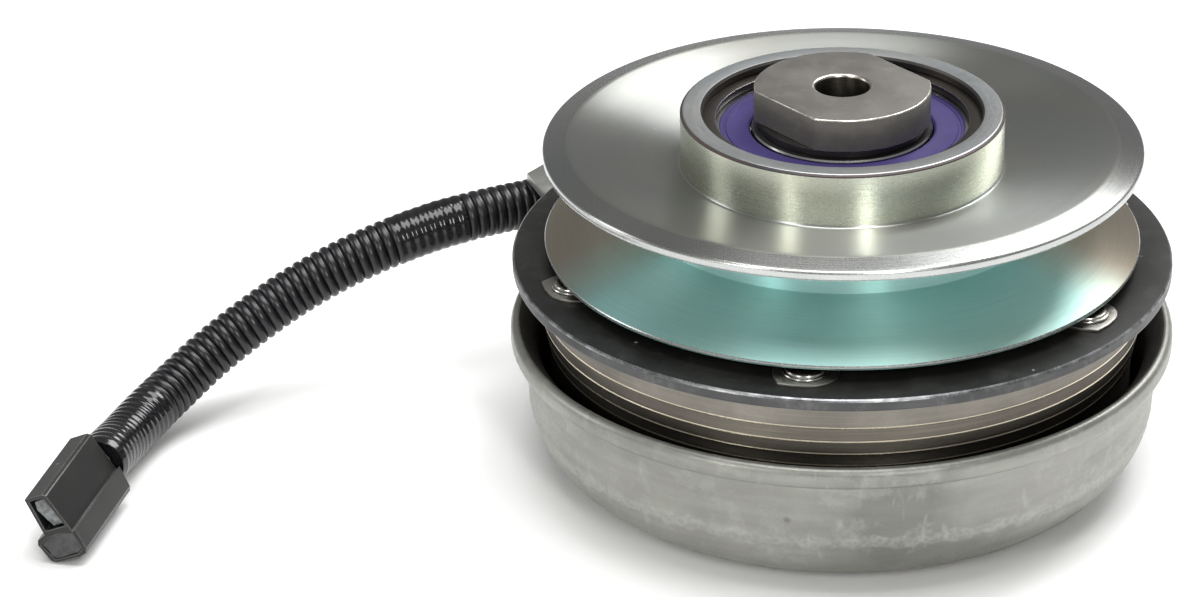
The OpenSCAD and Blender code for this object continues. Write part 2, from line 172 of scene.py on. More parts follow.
def grain_group() -> bpy.types.NodeTree:
    """Fine grain, a broad mottle and small specks, all from the piece's own coordinates."""
    sheet, given, out = new_group(
        "surface_grain",
        {"Scale": 900.0, "Mottle Scale": 30.0, "Speck Scale": 350.0},
        ("Grain", "Mottle", "Specks"),
    )
    place = sheet.add("ShaderNodeTexCoord").outputs["Object"]
    cells = sheet.add("ShaderNodeTexVoronoi", Vector=place, Scale=given.outputs["Speck Scale"])
    rare = sheet.spread(cells.outputs["Color"], 0.9, 0.96, 0.0, 1.0)
    dot = sheet.spread(cells.outputs["Distance"], 0.12, 0.24, 1.0, 0.0)
    sheet.feed(out.inputs["Grain"], sheet.noise(place, given.outputs["Scale"], 4.0, Roughness=0.6))
    sheet.feed(out.inputs["Mottle"], sheet.noise(place, given.outputs["Mottle Scale"], 5.0, Roughness=0.55))
    sheet.feed(out.inputs["Specks"], sheet.maths("MULTIPLY", rare, dot))
    return sheet.tree


def turned_group() -> bpy.types.NodeTree:
    """Tool marks that run round the axis, as a lathe or a spinning brush leaves them."""
    sheet, given, out = new_group(
        "turned_marks", {"Pitch Scale": 900.0, "Round Scale": 3.0}, ("Marks", "Sweep", "Flank")
    )
    place = sheet.add("ShaderNodeTexCoord").outputs["Object"]
    parts = sheet.add("ShaderNodeSeparateXYZ", Vector=place)
    squares = sheet.maths(
        "ADD",
        sheet.maths("MULTIPLY", parts.outputs["X"], parts.outputs["X"]),
        sheet.maths("MULTIPLY", parts.outputs["Y"], parts.outputs["Y"]),
    )
    radius = sheet.maths("MAXIMUM", sheet.maths("SQRT", squares), 0.0005)
    across = sheet.maths("DIVIDE", parts.outputs["X"], radius)
    along = sheet.maths("DIVIDE", parts.outputs["Y"], radius)
    ring = sheet.add(
        "ShaderNodeCombineXYZ",
        X=sheet.maths("MULTIPLY", across, given.outputs["Round Scale"]),
        Y=sheet.maths("MULTIPLY", along, given.outputs["Round Scale"]),
        Z=sheet.maths("MULTIPLY", radius, given.outputs["Pitch Scale"]),
    )
    level = sheet.maths("MULTIPLY", parts.outputs["Z"], given.outputs["Pitch Scale"])
    marks = sheet.add(
        "ShaderNodeTexNoise", {"noise_dimensions": "4D"},
        Vector=ring.outputs[0], W=level, Scale=1.0, Detail=3.0,
    )
    broad = sheet.add("ShaderNodeCombineXYZ", X=across, Y=along, Z=sheet.maths("MULTIPLY", radius, 26.0))
    sheet.feed(out.inputs["Marks"], marks.outputs["Fac"])
    sheet.feed(out.inputs["Sweep"], sheet.noise(broad.outputs[0], 1.1, 2.0))
    sheet.feed(out.inputs["Flank"], sheet.maths("ABSOLUTE", across))
    return sheet.tree


def band_group() -> bpy.types.NodeTree:
    """A hammered belt at one height, with an uneven edge, as a mask and its pebbled relief."""
    sheet, given, out = new_group(
        "hammered_belt", {"Level": 0.017, "Half Width": 0.0022, "Pebble Scale": 900.0}, ("Mask", "Pebbles")
    )
    place = sheet.add("ShaderNodeTexCoord").outputs["Object"]
    parts = sheet.add("ShaderNodeSeparateXYZ", Vector=place)
    shift = sheet.spread(sheet.noise(place, 260.0, 4.0), 0.3, 0.7, -0.0012, 0.0012)
    gap = sheet.maths("SUBTRACT", sheet.maths("ADD", parts.outputs["Z"], shift), given.outputs["Level"])
    share = sheet.maths("DIVIDE", sheet.maths("ABSOLUTE", gap), given.outputs["Half Width"])
    pebbles = sheet.add(
        "ShaderNodeTexVoronoi", {"feature": "SMOOTH_F1"}, Vector=place, Scale=given.outputs["Pebble Scale"]
    )
    sheet.feed(out.inputs["Mask"], sheet.spread(share, 0.55, 1.0, 1.0, 0.0))
    sheet.feed(out.inputs["Pebbles"], pebbles.outputs["Distance"])
    return sheet.tree


def scuff_group() -> bpy.types.NodeTree:
    """Rubbed patches and thin scratches, as masks."""
    sheet, given, out = new_group(
        "scuffs", {"Patch Scale": 60.0, "Scratch Scale": 220.0}, ("Patches", "Scratches")
    )
    place = sheet.add("ShaderNodeTexCoord").outputs["Object"]
    rough = sheet.noise(place, given.outputs["Patch Scale"], 9.0, Roughness=0.72)
    stretch = sheet.add("ShaderNodeMapping", Vector=place, Rotation=(0.4, 0.9, 0.5), Scale=(1.0, 0.06, 0.3))
    lines = sheet.noise(stretch.outputs[0], given.outputs["Scratch Scale"], 2.0, Distortion=0.3)
    sheet.feed(out.inputs["Patches"], sheet.spread(rough, 0.52, 0.68, 0.0, 1.0))
    sheet.feed(out.inputs["Scratches"], sheet.spread(lines, 0.66, 0.74, 0.0, 1.0))
    return sheet.tree


GROUPS = {"grain": grain_group(), "turned": turned_group(), "scuffs": scuff_group(), "belt": band_group()}


@dataclass
class Look:
    """What a finish has made so far for its shader to read."""

    colour: Socket
    height: Socket
    gloss: Socket


@dataclass(frozen=True)
class Finish:
    """One finish: colours, gloss and the marks that the surface carries.

    Scales are per metre, depths are in millimetres, and the belt's level is in metres.
    """

    name: str
    colour: Colour
    second: Colour
    third: Colour | None = None
    metallic: float = 0.0
    rough: Point2 = (0.4, 0.5)
    grain_scale: float = 1500.0
    grain_depth: float = 0.0
    mottle_scale: float = 30.0
    turned_scale: float = 0.0
    turned_depth: float = 0.0
    turned_tint: float = 0.0
    sweep_tint: float = 0.0
    side_reflection_tint: float = 0.0
    belt_level: float = 0.0
    belt_depth: float = 0.0
    scuff: float = 0.0
    scuff_colour: Colour = (0.6, 0.6, 0.58)
    scratch: float = 0.0
    patch_scale: float = 60.0
    specks: float = 0.0
    speck_colour: Colour = (0.75, 0.75, 0.72)
    speck_scale: float = 350.0
    anisotropy: float = 0.0
    specular: float = 0.5

    def add_tool_marks(self, sheet: Sheet, look: Look) -> None:
        """Add the marks that run round the axis, the tints that lie in sectors, and a painted reflection
        colour on the sides to the camera's left and right.
        """
        turned = sheet.add("ShaderNodeGroup", {"node_tree": GROUPS["turned"]}, Pitch_Scale=self.turned_scale)
        if self.third:
            sweep = sheet.spread(turned.outputs["Sweep"], 0.4, 0.6, 0.0, self.sweep_tint)
            look.colour = sheet.mix_colour(sweep, look.colour, self.third)
        # Painted reflection colour: the third colour grows towards the sides that face the camera's left and
        # right.
        if self.side_reflection_tint:
            flank = sheet.spread(turned.outputs["Flank"], 0.80, 0.96, 0.0, self.side_reflection_tint)
            look.colour = sheet.mix_colour(flank, look.colour, self.third)
        streak = sheet.spread(turned.outputs["Marks"], 0.3, 0.7, 0.0, self.turned_tint)
        look.colour = sheet.mix_colour(streak, look.colour, (0.02, 0.02, 0.02))
        cut = sheet.maths("MULTIPLY", turned.outputs["Marks"], self.turned_depth)
        look.height = sheet.maths("ADD", look.height, cut)
        ripple = sheet.spread(turned.outputs["Marks"], 0.3, 0.7, -0.02, 0.03)
        look.gloss = sheet.maths("ADD", look.gloss, ripple)

    def add_wear(self, sheet: Sheet, look: Look) -> None:
        """Add rubbed patches and scratches."""
        scuffs = sheet.add("ShaderNodeGroup", {"node_tree": GROUPS["scuffs"]}, Patch_Scale=self.patch_scale)
        rubbed = sheet.maths("MULTIPLY", scuffs.outputs["Patches"], self.scuff)
        scored = sheet.maths("MULTIPLY", scuffs.outputs["Scratches"], self.scratch)
        worn = sheet.maths("MAXIMUM", rubbed, scored)
        look.colour = sheet.mix_colour(worn, look.colour, self.scuff_colour)
        look.gloss = sheet.maths("ADD", look.gloss, sheet.maths("MULTIPLY", worn, 0.12), clamp=True)
        look.height = sheet.maths("SUBTRACT", look.height, sheet.maths("MULTIPLY", worn, 0.02))

    def add_belt(self, sheet: Sheet, look: Look) -> None:
        """Add the hammered belt and its pale crests."""
        belt = sheet.add("ShaderNodeGroup", {"node_tree": GROUPS["belt"]}, Level=self.belt_level)
        relief = sheet.maths("MULTIPLY", belt.outputs["Mask"], belt.outputs["Pebbles"])
        look.height = sheet.maths("ADD", look.height, sheet.maths("MULTIPLY", relief, self.belt_depth))
        pale = sheet.maths("MULTIPLY", relief, 0.55, clamp=True)
        look.colour = sheet.mix_colour(pale, look.colour, self.scuff_colour)

    def make(self) -> bpy.types.Material:
        """Build the material's nodes.

        Returns:
            The material, ready for a piece's slot.
        """
        material = bpy.data.materials.new(self.name)
        material.use_nodes = True
        sheet = Sheet(material.node_tree)
        shader = material.node_tree.nodes["Principled BSDF"]
        grain = sheet.add(
            "ShaderNodeGroup", {"node_tree": GROUPS["grain"]}, Scale=self.grain_scale,
            Mottle_Scale=self.mottle_scale, Speck_Scale=self.speck_scale,
        )
        blend = sheet.spread(grain.outputs["Mottle"], 0.36, 0.64, 0.0, 1.0)
        look = Look(
            colour=sheet.mix_colour(blend, self.colour, self.second),
            height=sheet.maths("MULTIPLY", grain.outputs["Grain"], self.grain_depth),
            gloss=sheet.spread(grain.outputs["Grain"], 0.3, 0.7, self.rough[0], self.rough[1]),
        )
        if self.turned_scale:
            self.add_tool_marks(sheet, look)
        if self.scuff or self.scratch:
            self.add_wear(sheet, look)
        if self.belt_level:
            self.add_belt(sheet, look)
        if self.specks:
            dots = sheet.maths("MULTIPLY", grain.outputs["Specks"], self.specks)
            look.colour = sheet.mix_colour(dots, look.colour, self.speck_colour)
        bump = sheet.add("ShaderNodeBump", Strength=1.0, Distance=MM, Height=look.height)
        sheet.feed(shader.inputs["Base Color"], look.colour)
        sheet.feed(shader.inputs["Roughness"], look.gloss)
        sheet.feed(shader.inputs["Normal"], bump.outputs["Normal"])
        shader.inputs["Metallic"].default_value = self.metallic
        shader.inputs["Specular IOR Level"].default_value = self.specular
        if self.anisotropy:
            shader.inputs["Anisotropic"].default_value = self.anisotropy
            shader.inputs["Anisotropic Rotation"].default_value = QUARTER_TURN
            tangent = sheet.add("ShaderNodeTangent", {"direction_type": "RADIAL", "axis": "Z"})
            sheet.feed(shader.inputs["Tangent"], tangent.outputs[0])
        return material


FINISHES = [
    Finish("flange_plate", (0.43, 0.445, 0.43), (0.375, 0.395, 0.38), (0.45, 0.435, 0.385), metallic=1.0,
           rough=(0.30, 0.34), grain_depth=0.0015, grain_scale=3000, mottle_scale=9, turned_scale=5200,
           turned_depth=0.0005, turned_tint=0.06, sweep_tint=0.5, specks=0.25, anisotropy=0.86),
    Finish("flange_band", (0.40, 0.41, 0.405), (0.35, 0.365, 0.36), (0.41, 0.40, 0.37), metallic=1.0,
           rough=(0.24, 0.30), grain_depth=0.0015, grain_scale=3000, turned_scale=5200,
           turned_depth=0.0005, turned_tint=0.05, sweep_tint=0.3, anisotropy=0.8),
    # Teal plating colour, made brighter to stand in for the reflection of the lit groove roof; its bronze
    # third colour is laid on the sides to the camera's left and right as a painted reflection colour.
    Finish("lower_flange_plate", (0.36, 0.63, 0.62), (0.44, 0.64, 0.58), (0.42, 0.32, 0.24), metallic=0.95,
           rough=(0.35, 0.41), grain_depth=0.0015, grain_scale=3000, mottle_scale=9, turned_scale=5200,
           turned_depth=0.0008, turned_tint=0.12, sweep_tint=0.12, side_reflection_tint=0.85, anisotropy=0.85),
    # Underside of the upper flange in pale cyan, brighter than the plate it belongs to: painted light on the
    # groove's roof, which the lower flange reflects.
    Finish("groove_roof_painted_light", (0.66, 0.82, 0.82), (0.60, 0.76, 0.76), (0.6, 0.62, 0.56), metallic=0.3,
           rough=(0.4, 0.5), turned_scale=3800, turned_depth=0.001, turned_tint=0.12, sweep_tint=0.4),
    Finish("hub_plate", (0.56, 0.58, 0.49), (0.60, 0.60, 0.48), (0.50, 0.56, 0.50), metallic=1.0,
           rough=(0.25, 0.29), grain_depth=0.0006, grain_scale=3000, mottle_scale=8, turned_scale=9000,
           turned_depth=0.0001, sweep_tint=0.4, specks=0.12, anisotropy=0.6),
    Finish("hub_face", (0.44, 0.46, 0.46), (0.40, 0.42, 0.43), (0.48, 0.48, 0.46), metallic=1.0,
           rough=(0.34, 0.42), grain_depth=0.006, turned_scale=1500, turned_depth=0.002, turned_tint=0.08,
           sweep_tint=0.5, specks=0.3),
    # Pale metal on rims and edges: partly bare metal, partly a painted highlight.
    Finish("bare_edge_and_highlight", (0.52, 0.53, 0.52), (0.44, 0.455, 0.45), metallic=1.0, rough=(0.22, 0.3),
           grain_depth=0.001, mottle_scale=60),
    Finish("dark_edge", (0.035, 0.03, 0.035), (0.07, 0.05, 0.045), metallic=0.4, rough=(0.4, 0.55),
           grain_depth=0.004),
    # The hub's bore, near-black: painted shade in the recess.
    Finish("hub_bore_shade", (0.07, 0.065, 0.06), (0.12, 0.11, 0.10), metallic=0.9, rough=(0.34, 0.46),
           turned_scale=2500, turned_depth=0.003, turned_tint=0.3, grain_depth=0.003),
    Finish("sintered_steel", (0.155, 0.147, 0.136), (0.115, 0.108, 0.100), metallic=0.45,
           rough=(0.42, 0.56), grain_scale=2600, grain_depth=0.02, mottle_scale=90, scuff=0.3,
           scuff_colour=(0.22, 0.21, 0.19), patch_scale=220, specks=0.15, speck_scale=600),
    # Pale edges of the boss: partly bare metal worn on the edges, partly a painted highlight.
    Finish("boss_edge_wear_and_highlight", (0.62, 0.59, 0.54), (0.30, 0.28, 0.26), metallic=1.0, rough=(0.26, 0.42),
           grain_scale=1800, grain_depth=0.012, mottle_scale=420),
    Finish("black_spring_steel", (0.045, 0.04, 0.036), (0.07, 0.06, 0.05), metallic=0.9,
           rough=(0.30, 0.42), grain_depth=0.005, scuff=0.08, scuff_colour=(0.2, 0.18, 0.15)),
    Finish("bearing_steel", (0.50, 0.50, 0.49), (0.42, 0.42, 0.42), metallic=1.0, rough=(0.16, 0.24),
           turned_scale=1800, turned_depth=0.002, turned_tint=0.1, scratch=0.1),
    # The inner race's flat faces and bore, nearly black: painted shade under the boss.
    Finish("race_face_painted_shade", (0.06, 0.055, 0.06), (0.10, 0.09, 0.09), metallic=0.9, rough=(0.3, 0.4),
           turned_scale=1800, turned_depth=0.002, turned_tint=0.2),
    Finish("seal_rubber", (0.030, 0.021, 0.105), (0.044, 0.031, 0.135), metallic=0.0, rough=(0.50, 0.62),
           grain_scale=2400, grain_depth=0.02, mottle_scale=45, turned_scale=700, turned_depth=0.003,
           turned_tint=0.1, specks=0.35, speck_scale=500, speck_colour=(0.4, 0.38, 0.5), specular=0.3),
    Finish("seal_groove", (0.03, 0.02, 0.10), (0.045, 0.03, 0.13), rough=(0.4, 0.5), grain_depth=0.01),
    Finish("phosphated_steel", (0.013, 0.0128, 0.012), (0.025, 0.0245, 0.023), metallic=0.3,
           rough=(0.36, 0.48), grain_scale=1400, grain_depth=0.010, mottle_scale=40, turned_scale=1200,
           turned_depth=0.001, turned_tint=0.1, scuff=0.35, scuff_colour=(0.075, 0.074, 0.072),
           patch_scale=120, specks=0.9, speck_scale=420, specular=0.3),
    Finish("ground_rim", (0.095, 0.096, 0.098), (0.068, 0.069, 0.070), metallic=0.8, rough=(0.34, 0.46),
           grain_scale=1500, grain_depth=0.012, mottle_scale=60, turned_scale=1600, turned_depth=0.003,
           turned_tint=0.15, scuff=0.45, scuff_colour=(0.2, 0.2, 0.2), patch_scale=150, specks=0.7,
           speck_colour=(0.5, 0.5, 0.5)),
    # The armature's top chamfer: worn bare metal and a painted highlight.
    Finish("worn_corner_and_highlight", (0.30, 0.31, 0.32), (0.12, 0.12, 0.125), metallic=0.9, rough=(0.24, 0.4),
           grain_depth=0.01, mottle_scale=260),
    # Dark brown turned steel. On the rotor its darkness below the lighter top band is painted shade under
    # the armature and inside the bowl.
    Finish("turned_steel", (0.19, 0.172, 0.145), (0.14, 0.126, 0.108), metallic=1.0, rough=(0.28, 0.38),
           turned_scale=4200, turned_depth=0.002, turned_tint=0.3, grain_depth=0.002, mottle_scale=24,
           anisotropy=0.6),
    # The rotor's top band: the lit copy of its turned steel, above the painted shade of the steps.
    Finish("rotor_band_lit", (0.27, 0.25, 0.22), (0.21, 0.195, 0.17), metallic=1.0, rough=(0.34, 0.44),
           turned_scale=4200, turned_depth=0.002, turned_tint=0.2, grain_depth=0.006, mottle_scale=40,
           scuff=0.25, scuff_colour=(0.38, 0.36, 0.33), anisotropy=0.5),
    # Painted highlight: the pale gold line on the corner of each rotor step.
    Finish("step_edge_highlight", (0.74, 0.68, 0.54), (0.60, 0.53, 0.40), metallic=0.95, rough=(0.18, 0.28),
           mottle_scale=90),
    Finish("rivet_steel", (0.36, 0.34, 0.30), (0.30, 0.28, 0.25), metallic=1.0, rough=(0.24, 0.36),
           grain_depth=0.006, mottle_scale=160, scratch=0.2),
    Finish("spring_steel", (0.36, 0.35, 0.32), (0.28, 0.27, 0.245), metallic=1.0, rough=(0.34, 0.46),
           grain_depth=0.006, mottle_scale=90, scuff=0.25, scuff_colour=(0.44, 0.43, 0.40),
           patch_scale=200),
    Finish("cast_zinc_plate", (0.31, 0.315, 0.285), (0.20, 0.205, 0.188), (0.35, 0.35, 0.32),
           metallic=0.75, rough=(0.32, 0.50), grain_scale=1300, grain_depth=0.012, mottle_scale=34,
           turned_scale=320, turned_depth=0.004, turned_tint=0.16, sweep_tint=0.6, belt_level=0.0166,
           belt_depth=0.08, scuff=0.4, scuff_colour=(0.44, 0.45, 0.41), patch_scale=110, scratch=0.5,
           specks=1.0, speck_colour=(0.04, 0.036, 0.03), speck_scale=170),
    # The inside of the bowl, near-black: painted shade in the recess.
    Finish("housing_inside_shade", (0.075, 0.07, 0.066), (0.045, 0.043, 0.04), metallic=0.5, rough=(0.5, 0.65),
           grain_depth=0.015, mottle_scale=40),
    Finish("bracket_zinc", (0.33, 0.33, 0.31), (0.27, 0.27, 0.26), metallic=0.8, rough=(0.34, 0.46),
           grain_scale=1000, grain_depth=0.012, mottle_scale=90, scuff=0.4,
           scuff_colour=(0.44, 0.44, 0.43), scratch=0.6),
    Finish("black_moulding", (0.018, 0.018, 0.02), (0.026, 0.026, 0.028), rough=(0.4, 0.5),
           grain_depth=0.01),
    Finish("enamelled_copper", (0.42, 0.15, 0.05), (0.34, 0.11, 0.04), metallic=0.8, rough=(0.2, 0.3),
           turned_scale=1200, turned_depth=0.05, turned_tint=0.4),
    Finish("potting_resin", (0.030, 0.030, 0.031), (0.060, 0.060, 0.061), rough=(0.42, 0.62),
           grain_scale=700, grain_depth=0.12, mottle_scale=420, scuff=0.5,
           scuff_colour=(0.12, 0.12, 0.12)),
    Finish("black_rubber", (0.014, 0.014, 0.015), (0.022, 0.022, 0.022), rough=(0.5, 0.62),
           grain_depth=0.015, specks=0.3),
    Finish("wire_cover", (0.014, 0.014, 0.016), (0.022, 0.022, 0.022), rough=(0.3, 0.4)),
    Finish("loom_plastic", (0.004, 0.004, 0.005), (0.007, 0.006, 0.008), rough=(0.28, 0.34),
           grain_scale=1200, grain_depth=0.001, mottle_scale=60, specks=0.1),
    Finish("vinyl_tape", (0.005, 0.005, 0.006), (0.009, 0.009, 0.010), rough=(0.12, 0.18),
           grain_scale=1800, grain_depth=0.001, mottle_scale=90, scratch=0.1,
           scuff_colour=(0.05, 0.05, 0.05), specks=0.1),
    Finish("connector_plastic", (0.012, 0.012, 0.012), (0.019, 0.019, 0.018), rough=(0.34, 0.44),
           grain_scale=2000, grain_depth=0.006, mottle_scale=50, specks=0.5, speck_scale=360,
           specular=0.35),
    # Painted highlight on the connector's rounded edges, lighter than its plastic.
    Finish("plastic_edge_highlight", (0.045, 0.045, 0.044), (0.075, 0.075, 0.073), rough=(0.24, 0.34),
           grain_scale=1500, grain_depth=0.004, mottle_scale=300),
    Finish("tinned_blade", (0.22, 0.24, 0.245), (0.08, 0.08, 0.08), metallic=0.4, rough=(0.4, 0.55),
           grain_depth=0.03, mottle_scale=480, scuff=0.4, scuff_colour=(0.42, 0.40, 0.38)),
    Finish("cage_brass", (0.50, 0.36, 0.14), (0.44, 0.32, 0.12), metallic=1.0, rough=(0.25, 0.35)),
    Finish("friction_lining", (0.14, 0.10, 0.075), (0.20, 0.15, 0.11), rough=(0.7, 0.85), grain_scale=500,
           grain_depth=0.08, mottle_scale=260, specks=0.9, speck_colour=(0.45, 0.34, 0.18)),
    Finish("bright_steel", (0.55, 0.55, 0.54), (0.48, 0.48, 0.47), metallic=1.0, rough=(0.2, 0.3),
           grain_depth=0.004),
    # Dark turned steel of the sleeve and spacer; on the lower flange's underside it is painted shade.
    Finish("dark_steel", (0.08, 0.075, 0.07), (0.05, 0.05, 0.05), metallic=0.9, rough=(0.3, 0.42),
           turned_scale=1500, turned_depth=0.004, turned_tint=0.2),
]
MATERIALS = {finish.name: finish.make() for finish in FINISHES}


# ---------------------------------------------------------------- modelling helpers


def deselect() -> None:
    """Leave object mode with nothing selected."""
    if bpy.context.object and bpy.context.object.mode != "OBJECT":
        bpy.ops.object.mode_set(mode="OBJECT")
    bpy.ops.object.select_all(action="DESELECT")


def pick(piece: Piece) -> None:
    """Make one object the only selected and active one."""
    deselect()
    piece.select_set(True)
    bpy.context.view_layer.objects.active = piece


def settle(piece: Piece) -> Piece:
    """Put the piece's place, turn and scale into its mesh."""
    pick(piece)
    bpy.ops.object.transform_apply(location=True, rotation=True, scale=True)
    return piece


def dress(piece: Piece, *names: str) -> Piece:
    """Give the piece these finishes, in slot order."""
    piece.data.materials.clear()
    for name in names:
        piece.data.materials.append(MATERIALS[name])
    return piece


def modify(piece: Piece, kind: str, **settings: object) -> Piece:
    """Add one modifier with these settings and apply it.

    Args:
        piece: the mesh object.
        kind: the modifier's type.
        settings: its properties.

    Returns:
        The same object.
    """
    pick(piece)
    modifier = piece.modifiers.new(kind.lower(), kind)
    for key, value in settings.items():
        setattr(modifier, key, value)
    bpy.ops.object.modifier_apply(modifier=modifier.name)
    return piece


def soften(
    piece: Piece, width: float, segments: int = 3, angle: float = 28.0, edge_slot: int = -1
) -> None:
    """Round the piece's sharp edges.

    Args:
        piece: the mesh object.
        width: width of the rounding, in metres.
        segments: faces across it.
        angle: edges sharper than this are rounded, in degrees.
        edge_slot: material slot of the new faces, or -1 to take their neighbours'.
    """
    modify(
        piece, "BEVEL", width=width, segments=segments, limit_method="ANGLE",
        angle_limit=math.radians(angle), material=edge_slot, harden_normals=False, use_clamp_overlap=True,
    )


def smooth(piece: Piece, angle: float = 32.0) -> Piece:
    """Shade smooth across edges flatter than the angle, in degrees."""
    pick(piece)
    bpy.ops.object.shade_smooth_by_angle(angle=math.radians(angle))
    return piece


def paint(piece: Piece, slot: int, chosen: Callable[[float, float, Vector], bool]) -> None:
    """Put faces in a material slot.

    Args:
        piece: the mesh object.
        slot: the slot's place.
        chosen: a test on a face's radius, height and outward normal.
    """
    for polygon in piece.data.polygons:
        centre = polygon.center
        if chosen(math.hypot(centre.x, centre.y), centre.z, polygon.normal):
            polygon.material_index = slot


def cut(piece: Piece, tool: Piece) -> None:
    """Take the tool's shape out of the piece, and throw the tool away."""
    modify(piece, "BOOLEAN", operation="DIFFERENCE", object=tool, solver="EXACT")
    bpy.data.objects.remove(tool)


def finish_piece(piece: Piece, body: Body, slot: str, *nodes: str) -> Piece:
    """Fix a piece to its body, hide the CAD nodes it replaces and log it.

    Args:
        piece: the finished object.
        body: the body it moves with.
        slot: not used.
        nodes: the CAD nodes it replaces.

    Returns:
        The same object.
    """
    settle(piece)
    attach(piece, body.value)
    if nodes:
        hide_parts(*nodes)
    LOG.info("%s: %d faces on %s", piece.name, len(piece.data.polygons), body.value)
    return piece


def dress_nodes(body: Body, *rows: tuple[str, float, str]) -> None:
    """Finish clean copies of CAD nodes.

    Args:
        body: the body they move with.
        rows: each node's name, the width of its rounded edges in millimetres, and its finish.
    """
    for node, width, finish in rows:
        finish_piece(dress(refined(node, width * MM), finish), body, finish, node)


def drawn_line(name: str, points: list[Vector], closed: bool) -> Piece:
    """Draw a chain of edges by extruding one vertex from point to point.

    Args:
        name: the object's name.
        points: the chain's corners.
        closed: whether the last point joins the first.

    Returns:
        The object, left in edit mode with the whole chain selected.
    """
    deselect()
    bpy.ops.mesh.primitive_plane_add(size=MM, location=points[0])
    piece = bpy.context.object
    piece.name = name
    piece.data.name = name
    bpy.ops.object.transform_apply(location=True)
    bpy.ops.object.mode_set(mode="EDIT")
    bpy.ops.mesh.select_all(action="SELECT")
    bpy.ops.mesh.merge(type="CENTER")
    stops = points[1:] + ([points[0]] if closed else [])
    for here, there in zip(points, stops):
        bpy.ops.mesh.extrude_region_move(TRANSFORM_OT_translate={"value": tuple(there - here)})
    bpy.ops.mesh.select_all(action="SELECT")
    bpy.ops.mesh.remove_doubles(threshold=1e-7)
    bpy.ops.mesh.select_all(action="SELECT")
    return piece


def turned(name: str, profile: list[Point2], steps: int = 192, closed: bool = True) -> Piece:
    """Spin a profile round the Z axis.

    Args:
        name: the object's name.
        profile: radius and height of each corner, in millimetres.
        steps: faces round the axis.
        closed: whether the profile is a closed outline.

    Returns:
        The turned object, in object mode.
    """
    piece = drawn_line(name, [Vector((r * MM, 0, z * MM)) for r, z in profile], closed)
    bpy.ops.mesh.spin(steps=steps, angle=2 * math.pi, center=(0, 0, 0), axis=(0, 0, 1))
    bpy.ops.mesh.select_all(action="SELECT")
    bpy.ops.mesh.remove_doubles(threshold=2e-6)
    bpy.ops.mesh.select_all(action="SELECT")
    bpy.ops.mesh.normals_make_consistent(inside=False)
    bpy.ops.object.mode_set(mode="OBJECT")
    return piece


def arc(centre: Point2, radius: float, start: float, end: float, count: int) -> list[Point2]:
    """Points along an arc, angles in degrees from the first axis."""
    turns = [math.radians(start + (end - start) * i / count) for i in range(count + 1)]
    return [(centre[0] + radius * math.cos(turn), centre[1] + radius * math.sin(turn)) for turn in turns]


def refined(node: str, width: float, segments: int = 2, angle: float = 28.0) -> Piece:
    """Copy a CAD node's shape as a clean mesh with rounded edges.

    Args:
        node: the CAD node.
        width: width of the rounding, in metres.
        segments: faces across it.
        angle: edges sharper than this are rounded, in degrees.

    Returns:
        The new object, which the caller dresses and places.
    """
    deselect()
    source = frame["nodes"][node]
    piece = bpy.data.objects.new(node + "_skin", source.data.copy())
    bpy.context.scene.collection.objects.link(piece)
    pick(piece)
    piece.data.materials.clear()
    bpy.ops.object.mode_set(mode="EDIT")
    bpy.ops.mesh.select_all(action="SELECT")
    bpy.ops.mesh.remove_doubles(threshold=2e-6)
    bpy.ops.mesh.select_all(action="SELECT")
    bpy.ops.mesh.dissolve_limited(angle_limit=math.radians(1.0))
    bpy.ops.object.mode_set(mode="OBJECT")
    if width:
        soften(piece, width, segments, angle)
    return smooth(piece)


class Extent:
    """Radius and heights of a CAD node that is centred on the axis, in millimetres."""

    def __init__(self, node: str) -> None:
        """Measure the node.

        Args:
            node: the CAD node's name.
        """
        low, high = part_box(node)
        self.r = high.x / MM
        self.low = low.z / MM
        self.top = high.z / MM


# ---------------------------------------------------------------- sub-assemblies


